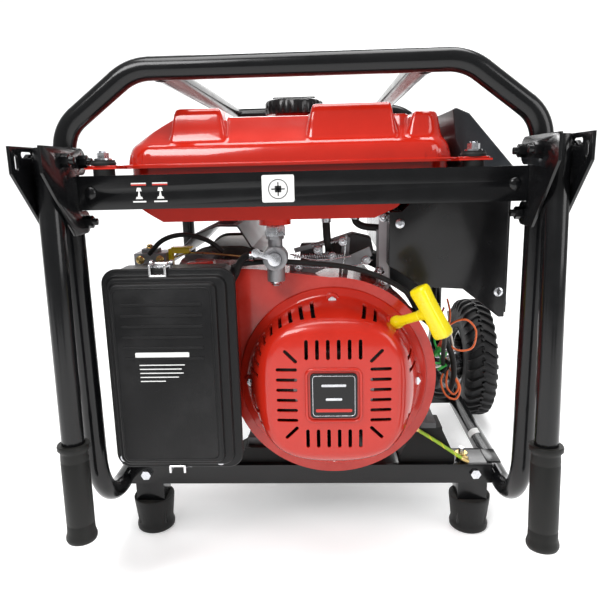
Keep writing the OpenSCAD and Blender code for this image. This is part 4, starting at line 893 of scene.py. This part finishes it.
def engine_top():
    hoses = Shape()
    hoses.sweep(smooth_path([(29, -185, 452), (29, -186, 438), (30, -188, 420), (32, -176, 404),
        (30, -150, 392)]), 5.0, 14)
    hoses.sweep(smooth_path([(66, -170, 451), (68, -171, 440), (78, -172, 434), (94, -172, 432),
        (107, -172, 430), (116, -165, 424)]), 4.6, 14)
    cable = [(-150, -205, 352), (-120, -213, 372), (-84, -214.5, 392), (-40, -214.5, 396),
        (10, -214, 393), (60, -213.5, 386), (104, -213, 370), (140, -213, 345), (164, -208, 318),
        (180, -190, 296), (189, -160, 276), (194, -130, 252), (198, -108, 226), (200, -101, 210)]
    hoses.sweep(smooth_path(cable, 8), 3.4, 12)
    hoses.sweep(smooth_path([(-196, -212, 408), (-176, -216, 426), (-150, -214, 432),
        (-122, -208, 424), (-104, -200, 408)]), 3.0, 10)
    hoses.done("engine_hoses", "rubber")
    fuel = Shape()
    fuel.sweep(smooth_path([(-60, -222, 404), (-70, -220, 405), (-80, -216, 396), (-87, -216, 380),
        (-100, -216, 362), (-125, -216, 352), (-146, -216, 350), (-156, -211, 350),
        (-158, -200, 352), (-163, -191, 355), (-175, -186, 357)]), 4.5, 14)
    fuel.done("fuel_hose_rubber", "rubber", replaces=("fuel_hose",))
    clamps = Shape()
    for p, d in (((-64, -221.5, 404.5), (-1, 0.1, 0.1)), ((-168, -188.8, 356), (-1, 0.4, 0.1)),
            ((29, -185.5, 444), (0, 0, 1)), ((66.6, -170.4, 446), (0.1, 0, 1))):
        clamps.lathe([(4.4, -2.4), (6.1, -2.4), (6.1, 2.4), (4.4, 2.4)], placed(p, d), 24,
            closed=True)
    clamps.done("hose_clamps", "zinc")

    valve = Shape()
    m = placed((VALVE_X, VALVE_Y, 0), (0, 0, 1))
    valve.lathe([(0.5, 368.5), (6, 369), (8.4, 372), (9.6, 377), (9.8, 390), (8.6, 392),
        (0.5, 392)], m, 40)
    valve.lathe([(9, 393), (12.4, 393), (12.4, 396), (9, 396)], m, 6, closed=True)
    valve.lathe([(7, 430), (13.4, 430), (13.4, 441), (12, 443), (7, 443)], m, 6, closed=True)
    valve.done("fuel_valve_bowl", "zinc", bevel=0.4)
    face = Shape()
    m = placed((VALVE_X, -238.2, VALVE_Z), (0, -1, 0))
    face.lathe([(8.5, 0), (14.2, 0), (14.2, 1.4), (12.2, 2.4), (9.6, 2.6), (8.5, 2.4)], m, 40,
        closed=True)
    for k in range(2):
        a = pi * k + 0.8
        p = m @ Vector((11.6 * cos(a), 11.6 * sin(a), 1.9))
        face.lathe([(0.3, 0), (2.0, 0), (1.8, 1.2), (0.3, 1.5)], placed(p, (0, -1, 0)), 16)
    face.done("fuel_valve_face", "cast")

    governor = Shape()
    governor.prism([(-20, 376), (8, 374), (40, 388), (66, 384), (88, 398), (84, 410), (56, 398),
        (30, 404), (2, 392), (-18, 392)], 0, 2.2, facing(-188))
    governor.prism([(-12, 402), (30, 412), (58, 420), (56, 425), (26, 418), (-14, 408)], 0, 2.0,
        facing(-180))
    governor.prism([(44, 366), (56, 366), (60, 420), (50, 422)], 0, 2.0, facing(-176))
    governor.box((94, -176, 356), (112, -173.6, 432))
    governor.done("governor_plates", "cast", bevel=0.5)
    dark = Shape()
    dark.prism([(26, 392), (84, 388), (92, 400), (88, 418), (64, 424), (38, 416)], 0, 26,
        facing(-134))
    dark.prism(round_rect(-6, 388, 24, 412, 4), 0, 18, facing(-150))
    dark.done("governor_housing", "cast_dark", bevel=2.0, segments=3)
    springs = Shape()
    for a, b, r, turns in (((-14, -190, 399), (52, -191, 399), 3.0, 22),
            ((10, -186, 412), (44, -187, 417), 2.2, 14)):
        a, b = Vector(a), Vector(b)
        x, y, z = frame_axes(b - a)
        pts = [a + (b - a) * (i / (turns * 14)) + r *
            (cos(tau * i / 14) * x + sin(tau * i / 14) * y) for i in range(turns * 14 + 1)]
        springs.sweep(pts, 0.55, 6)
    for pts in ([(-58, -190, 396), (-30, -192, 390), (10, -192, 384), (60, -191, 385),
            (88, -189, 392)], [(-18, -192, 402), (16, -193, 394), (60, -192, 398)],
            [(48, -190, 372), (52, -191, 400), (54, -190, 424)]):
        springs.sweep(smooth_path(pts), 1.1, 8)
    springs.done("governor_springs", "zinc")
    nuts = Shape()
    for x, z in ((80, 392), (50, 417), (-8, 384), (36, 398), (18, 406), (-56, 396)):
        nuts.bolt((x, -190.2, z), (0, -1, 0), 4.6, 4.0, x)
    nuts.bolt((96, -196, 377), (0, -0.4, 1), 5.4, 5)
    nuts.bolt((-96, -207, 381), (0, -0.4, 1), 5.4, 5)
    nuts.done("governor_nuts", "zinc", bevel=0.25)
    strap = Shape()
    strap.box((97, -179, 352), (110, -177, 454))
    strap.done("panel_strap", "strap", bevel=0.5)
    caps = Shape()
    caps.bolt((103, -179.2, 446), (0, -1, 0), 5, 4)
    caps.bolt((103, -179.2, 362), (0, -1, 0), 5, 4)
    caps.done("strap_bolts", "zinc", bevel=0.25)


engine_top()


def carburettor_details():
    m = shift((-201, -176, 0))
    bowl = Shape()
    bowl.lathe([(0.5, 327), (11, 327), (15.5, 330), (17.6, 336), (17.6, 351), (18.6, 352),
        (18.6, 355), (0.5, 355)], m, 40)
    bowl.done("carburettor_bowl", "zinc")
    parts = Shape()
    parts.lathe([(0.5, 322), (5.4, 322), (5.8, 327), (0.5, 327)], m, 6)
    for x, y, z, d in ((-214, -192.5, 398, (0, -1, 0)), (-188, -192.5, 398, (0, -1, 0)),
            (-214, -192.5, 361, (0, -1, 0)), (-188, -192.5, 361, (0, -1, 0)),
            (-222.3, -170, 388, (-1, 0, 0)), (-206, -172, 411, (0, 0, 1))):
        parts.bolt((x, y, z), d, 4.2, 3.4)
    parts.sweep(smooth_path([(-178, -170, 396), (-160, -172, 402), (-140, -178, 404),
        (-104, -186, 402), (-60, -190, 397)]), 1.1, 8)
    parts.done("carburettor_fittings", "brass", bevel=0.2)
    red = Shape()
    red.prism([(-152, 394), (-118, 396), (-112, 380), (-120, 372), (-148, 374)], 0, 16,
        facing(-184))
    red.done("intake_shroud", "engine_red", bevel=1.5, segments=3)
    pad = Shape()
    pad.prism(round_rect(-12, -7.5, 16, 7.5, 3), 0, 2.4, shift((-164, -174, 410.1)))
    pad.done("choke_thumb_pad", "yellow", body="choke_lever", bevel=0.8)


carburettor_details()


def tank_fittings():
    washers = Shape()
    nuts = Shape()
    for x in (-222, 192):
        for y in (-273, 333):
            washers.lathe([(4.2, 0), (13.4, 0), (14.2, 2.4), (12.4, 5.6), (8.4, 6.0), (4.2, 6.0)],
                shift((x, y, SEAM_Z + 2.1)), 40, closed=True)
            nuts.lathe([(4.1, 0), (9.6, 0), (9.6, 1.4), (4.1, 1.4)], shift((x, y, SEAM_Z + 8.2)),
                36, closed=True)
            for k in range(7):
                nuts.lathe([(3.9, 0), (4.35, 0.5), (3.9, 1.0)], shift((x, y, 533.2 - k)), 24)
    washers.done("tank_ear_washers", "rubber")
    nuts.done("tank_ear_threads", "zinc")
    bead = Shape()
    for s in (-1, 1):
        for y in (FRONT_Y, REAR_Y):
            inward = 1 if y == FRONT_Y else -1
            pts = [(s * 257.6, y - inward * 9.2, 474 + 28 * k / 20) for k in range(21)]
            bead.sweep(pts, lambda t: 1.5 + 0.35 * sin(t * 60), 8)
    for x in (-152, 138):
        for y, s in ((FRONT_Y, 1), (REAR_Y, -1)):
            pts = []
            for k in range(40):
                t = tau * k / 40
                z = min(12.9 * sin(t), 11.2)
                reach = sqrt(max(12.7 ** 2 - (12.7 * sin(t)) ** 2, 0))
                pts.append((x + 12.9 * cos(t), y + s * (reach + 0.6), TOP_Z + z))
            bead.sweep(pts, 1.4, 8, closed=True)
    for s in (-1, 1):
        for y0, y1 in ((-189, -143), (102, 148)):
            pts = [(s * (POST_X - 9.5), y0 + (y1 - y0) * k / 24, 80.5 + 10.4) for k in range(25)]
            bead.sweep(pts, lambda t: 1.7 + 0.35 * sin(t * 75), 8)
    bead.done("weld_beads", "frame")


tank_fittings()


# ---------- wiring ----------


def wiring():
    groups = {
        "orange": [[(205, -92, 318), (209, -96, 296), (206, -98, 270), (200, -97, 246),
                    (204, -99, 224)],
                   [(208, -101, 220), (196, -104, 250), (202, -112, 280), (226, -114, 292),
                    (243, -112, 276), (240, -112, 250), (222, -110, 244), (206, -106, 252),
                    (198, -104, 268), (196, -100, 240)],
                   [(203, -102, 214), (196, -108, 196), (203, -112, 176), (218, -112, 170),
                    (224, -110, 186), (216, -106, 204), (208, -102, 216)],
                   [(206, -104, 212), (204, -110, 190), (214, -114, 178), (221, -112, 190),
                    (212, -105, 208)]],
        "red_wire": [[(188, -108, 246), (196, -104, 262), (192, -100, 284), (200, -96, 306)]],
        "green_wire": [[(164, -132, 236), (176, -124, 230), (188, -112, 226), (200, -102, 222)],
                       [(198, -104, 226), (190, -110, 244), (184, -112, 262), (190, -104, 286)]],
        "white_wire": [[(170, -130, 226), (184, -120, 222), (196, -106, 220)],
                       [(208, -98, 226), (214, -100, 244), (210, -98, 270), (206, -94, 300)],
                       [(176, -126, 240), (174, -122, 262), (180, -116, 292), (188, -112, 316)]],
    }
    for mat, routes in groups.items():
        shape = Shape()
        for route in routes:
            shape.sweep(smooth_path(route, 8), 1.5, 10)
        shape.done("harness_" + mat, mat, replaces=("wiring_harness",) if mat == "orange" else ())
    plugs = Shape()
    for p, d, length in (((196, -107, 226), (0.3, -0.1, 1), 17),
            ((184, -115, 238), (0.7, 0, 1), 15), ((190, -108, 216), (1, 0.3, 0.4), 15)):
        m = placed(p, d)
        plugs.prism(round_rect(-3.6, -2.6, 3.6, 2.6, 0.9, 2), 0, length, m)
        plugs.prism(round_rect(-2.4, -3.4, 2.4, 3.4, 0.8, 2), 2, 7, m)
    plugs.done("harness_connectors", "green_plastic", bevel=0.4)
    clear = Shape()
    m = placed((174, -124, 262), (0.1, 0, -1))
    clear.lathe([(0.4, 0), (2.8, 0.4), (3.4, 4), (3.4, 20), (2.4, 23), (0.4, 23)], m, 24)
    clear.done("harness_boot", "strap")
    tape = Shape()
    tape.sweep(smooth_path([(199, -101, 208), (203, -100, 216), (207, -99, 226)]),
        lambda t: 6.5 - 1.5 * abs(t - 0.5), 16)
    tape.sweep(smooth_path([(150, -70, 300), (176, -92, 284), (198, -104, 262), (212, -108, 232),
        (214, -104, 192), (205, -78, 162), (180, -30, 158), (148, 20, 186), (116, 48, 215)]), 4.2,
        12)
    tape.done("harness_sleeve", "rubber")
    wrap = Shape()
    for k in range(9):
        p = Vector((199, -101, 208)).lerp(Vector((207, -99, 226)), k / 8)
        wrap.lathe([(5.4, -0.9), (7.0, -0.5), (7.0, 0.5), (5.4, 0.9)], placed(p, (8, 2, 18)), 20,
            closed=True)
    wrap.done("harness_tape", "smooth_plastic")

    route = smooth_path([(147, -188, 158), (160, -188, 149), (175, -188, 139), (190, -187, 128),
        (205, -186, 117), (216, -185, 109)], 10)
    lead = Shape()
    lead.sweep(route, 2.3, 16)
    lead.done("earth_lead_sleeve", "earth", replaces=("earth_lead",))
    stripe = Shape()
    turned = []
    for i, p in enumerate(route):
        x, y = frame_axes(route[min(i + 1, len(route) - 1)] - route[max(i - 1, 0)])[:2]
        a = i * 0.55
        turned.append(p + 1.75 * (cos(a) * x + sin(a) * y))
    stripe.sweep(turned, 0.85, 8)
    stripe.done("earth_lead_stripe", "earth_stripe")
    ends = Shape()
    for p, d in ((route[0], route[1] - route[0]), (route[-1], route[-2] - route[-1])):
        ends.lathe([(1.2, -6), (3.4, -6), (3.4, 5), (2.4, 6), (1.2, 6)], placed(p, d), 20)
    ends.lathe([(4.2, 0), (8.5, 0), (8.5, 1.4), (4.2, 1.4)], shift((215, -169, 111.2)), 28,
        closed=True)
    ends.bolt((218, -180, 106), (0.1, 0, 1), 4.6, 4)
    ends.done("earth_lead_terminals", "brass", bevel=0.3)


wiring()


# ---------- control panel ----------


def panel():
    x = 256.0
    bezel, holes, dark, dials = Shape(), Shape(), Shape(), Shape()
    for y, top in ((60, 5.9), (-10, 7.4)):
        m = right_facing(x) @ shift((y, 395, 0))
        bezel.lathe([(20.2, 2), (20.2, top - 1.2), (22, top), (25.2, top - 1), (26.4, 3),
            (27.5, 0.2)], m, 56)
        dark.lathe([(0.5, -1.5), (19.9, -1.5), (19.9, -0.6), (0.5, -0.6)], m, 40)
        for k in (-1, 1):
            holes.lathe([(2.4, -0.8), (3.9, -0.8), (3.9, 0.5), (2.4, 0.5)],
                m @ shift((9.5 * k, 0, 0)), 24, closed=True)
        holes.box((-2.6, 14, -0.8), (2.6, 18.5, 1.2), m)
        holes.box((-2.6, -18.5, -0.8), (2.6, -14, 1.2), m)
    m = right_facing(x) @ shift((-40, 462, 0))
    bezel.lathe([(19.5, 4.6), (20.5, 6.4), (23.8, 6.4), (25.6, 4), (25.8, 0.2)], m, 56)
    dials.lathe([(0.5, 4.6), (19.8, 4.6), (19.8, 5.2), (0.5, 5.2)], m, 48)
    for k in range(11):
        dark.box((13.5 if k % 5 else 11.5, -0.3, 5.1), (16.5, 0.3, 5.45),
            m @ rotation(30 + 12 * k, "Z"))
    dark.box((-3, -0.45, 5.3), (13, 0.45, 5.8), m @ rotation(72, "Z"))
    dark.lathe([(0.4, 5.1), (2.6, 5.1), (2.2, 6.4), (0.4, 6.6)], m, 20)
    for y, z in ((-198, 334), (-198, 492), (178, 334), (178, 492), (-10, 334), (-10, 492),
            (-98, 380), (-142, 380)):
        holes.lathe([(0.4, 0), (4.6, 0), (4.4, 1.4), (2.8, 2.6), (1.8, 2.7), (1.6, 1.2),
            (0.4, 1.2)], right_facing(x) @ shift((y, z, 0)), 24)
    holes.lathe([(0.4, 0), (6.4, 0), (6.4, 3), (5.4, 4), (3, 4), (3, 11), (2.4, 12), (0.4, 12)],
        right_facing(x) @ shift((150, 345, 0)), 6)
    holes.lathe([(0.4, 11.5), (9, 11.5), (9, 13.5), (0.4, 13.5)],
        right_facing(x) @ shift((150, 345, 0)), 24)
    lamp = Shape()
    lamp.lathe([(0.4, 0), (6.5, 0), (6.5, 2), (5, 5.5), (2.6, 7), (0.4, 7.2)],
        right_facing(x) @ shift((40, 462, 0)), 32)
    bezel.done("panel_bezels", "plastic")
    holes.done("panel_screws", "zinc", bevel=0.2)
    dark.done("panel_dark_print", "dark_print_and_shade")
    dials.done("panel_dial", "dial")
    lamp.done("panel_lamp", "red_plastic")
    plate = Shape()
    for low, high in (((-196, 470), (-120, 486)), ((-196, 444), (-120, 462)),
            ((120, 440), (176, 480)), ((98, 352), (130, 362))):
        plate.prism(round_rect(low[0], low[1], high[0], high[1], 2, 3), 0.0, 0.5, right_facing(x))
    plate.done("panel_labels", "label_grey")
    bars = Shape()
    for k in range(5):
        bars.box((125, 446 + 6 * k, 0.4), (168 - 6 * (k % 3), 447.4 + 6 * k, 0.8), right_facing(x))
    for y0 in (-190, -170, -150):
        bars.box((y0, 476, 0.4), (y0 + 14, 479, 0.8), right_facing(x))
    bars.done("panel_label_bars", "dark_print_and_shade")
    vents = Shape()
    for k in range(12):
        y = -180 + 28 * k
        vents.prism(round_rect(y, 330, y + 16, 333, 1.4, 3), 0.0, 0.9, right_facing(x))
    vents.done("panel_louvres", "plastic", bevel=0.3)
    side = Shape()
    side.lathe([(0.4, 0), (6, 0), (5.6, 2), (3.2, 3.2), (2, 3.2), (1.8, 1.6), (0.4, 1.6)],
        placed((244, -210.2, 352), (0, -1, 0)), 28)
    side.lathe([(0.4, 0), (6, 0), (5.6, 2), (3.2, 3.2), (2, 3.2), (1.8, 1.6), (0.4, 1.6)],
        placed((120, -210.2, 440), (0, -1, 0)), 28)
    side.done("panel_side_screws", "zinc")


panel()


# ---------- exhaust, alternator and crankcase details ----------


def rear_details():
    seam = Shape()
    for y in (12, 224):
        outline = round_rect(-198, 290, -74, 386, 38, 10)
        seam.sweep([(x, y, z) for x, z in outline], 3.0, 10, closed=True)
    seam.lathe([(13.2, -1), (15.6, -1), (16.4, 0.6), (15.6, 2.2), (13.2, 2.2)],
        placed((-220.5, 190, 330), (-1, 0, 0)), 40, closed=True)
    seam.lathe([(15.2, 0), (22, 0), (22, 3), (15.2, 3)], placed((-198, 190, 330), (-1, 0, 0)), 40,
        closed=True)
    seam.done("muffler_seams", "hot")
    louvres = Shape()
    for k in range(13):
        y = -50 + 22 * k
        louvres.sweep(smooth_path([(-164, y + 11, 418.6), (-150, y + 11, 424.2),
            (-134, y + 11, 430.2), (-112, y + 11, 429.6)]), 1.6, 8)
    louvres.done("guard_louvres", "guard")
    ribs = Shape()
    for k in range(20):
        a = radians(-60 + 300 * k / 19)
        m = (shift((CRANK[0], 0, CRANK[1])) @ Matrix.Rotation(-a, 4, "Y"))
        ribs.box((101, 16, -2), (107.5, 206, 2), m)
    ribs.done("alternator_ribs", "cast_dark", bevel=0.8)
    bolts = Shape()
    for k in range(4):
        a = radians(45 + 90 * k)
        x, z = CRANK[0] + 88 * cos(a), CRANK[1] + 88 * sin(a)
        bolts.bolt((x, 254.8, z), (0, 1, 0), 5.6, 5)
    for x, z in ((-49, 152), (121, 152), (-49, 328), (121, 328)):
        bolts.bolt((x, 0.2, z), (0, 1, 0), 5.6, 5)
    bolts.done("alternator_bolts", "zinc", bevel=0.3)
    plug = Shape()
    plug.lathe([(0.5, 0), (13, 0), (14.5, 2), (14.5, 8), (12, 10), (12, 16), (9, 18), (0.5, 18)],
        placed((119, -116, 168), (0.5, -0.3, 0.8)), 32)
    plug.prism(round_rect(-10, -2.2, 10, 2.2, 2, 3), 16, 24,
        placed((119, -116, 168), (0.5, -0.3, 0.8)))
    plug.done("oil_dipstick", "yellow", bevel=0.6)
    fan = Shape()
    for k in range(24):
        m = at_crank(-190) @ Matrix.Rotation(tau * k / 24, 4, "Z")
        fan.box((66, -1.4, -2), (110, 1.4, 9), m @ Matrix.Rotation(0.0, 4, "Z"))
    fan.lathe([(62, -3), (112, -3), (112, -1.5), (62, -1.5)], at_crank(-190), 96, closed=True)
    fan.done("flywheel_blades", "cast_dark", body="crank")
    cup = Shape()
    cup.lathe([(30, 4), (46, 4), (46, 22), (30, 22)], at_crank(-206), 64, closed=True)
    cup.done("starter_cup", "steel", body="crank")
    # Dark disc inside the starter cover: painted shade that shows through the cover's slots.
    shade_disc = Shape()
    shade_disc.lathe([(50, 0), (100, 0), (100, 1), (50, 1)], at_crank(-226), 72, closed=True)
    shade_disc.done("cover_inner_painted_shade", "dark_print_and_shade")


rear_details()


# ---------- room, light and camera ----------


def room():
    n = 24
    points = [(-2.4, 0.0)] + [(1.4 + 0.9 * sin(pi / 2 * k / n), 0.9 - 0.9 * cos(pi / 2 * k / n))
        for k in range(n + 1)] + [(2.3, 3.2)]
    verts = []
    for x in (-4.0, 4.0):
        verts += [Vector((x, y, z)) for y, z in points]
    count = len(points)
    faces = [(i, i + 1, count + i + 1, count + i) for i in range(count - 1)]
    mesh = bpy.data.meshes.new("floor")
    mesh.from_pydata(verts, [], faces)
    for face in mesh.polygons:
        face.use_smooth = True
    mesh.materials.append(material("pale_floor", (0.86, 0.86, 0.86), 0.55, bump=0.02, mottle=0.01,
        emit=0.35))
    obj = bpy.data.objects.new("floor", mesh)
    bpy.context.scene.collection.objects.link(obj)
    world = bpy.data.worlds.new("studio")
    world.use_nodes = True
    world.node_tree.nodes["Background"].inputs["Color"].default_value = (1, 1, 1, 1)
    world.node_tree.nodes["Background"].inputs["Strength"].default_value = 0.32
    bpy.context.scene.world = world
    bpy.context.scene.view_settings.view_transform = "Standard"
    for name, place, aim, size, watts in (("key", (-0.9, -1.6, 1.9), (0, 0, 0.3), (1.2, 0.8), 38),
            ("fill", (1.7, -1.3, 1.1), (0, 0, 0.3), (1.0, 1.4), 16),
            ("top", (0.1, -0.2, 2.1), (0, 0, 0.3), (1.8, 0.9), 34),
            ("back", (0.2, 1.9, 1.6), (0, 0, 0.4), (1.6, 0.8), 22)):
        light = bpy.data.lights.new(name, "AREA")
        light.shape = "RECTANGLE"
        light.size, light.size_y = size
        light.energy = watts
        lamp = bpy.data.objects.new(name, light)
        lamp.location = place
        lamp.rotation_euler = (Vector(aim) - Vector(place)).to_track_quat("-Z", "Y").to_euler()
        bpy.context.scene.collection.objects.link(lamp)


def camera():
    yaw, pitch, roll = (radians(a) for a in (2.48, 12.31, -1.41))
    ahead = Vector((-sin(yaw) * cos(pitch), cos(yaw) * cos(pitch), -sin(pitch)))
    right = Vector((cos(yaw), sin(yaw), 0))
    up = right.cross(ahead)
    turned = cos(roll) * right + sin(roll) * up
    upright = -sin(roll) * right + cos(roll) * up
    data = bpy.data.cameras.new("camera")
    data.lens, data.sensor_width = 36.16, 36.0
    cam = bpy.data.objects.new("camera", data)
    cam.matrix_world = shift((0.02665, -0.96341, 0.50969)) @ Matrix((turned, upright,
        -ahead)).transposed().to_4x4()
    bpy.context.scene.collection.objects.link(cam)
    bpy.context.scene.camera = cam


room()
camera()
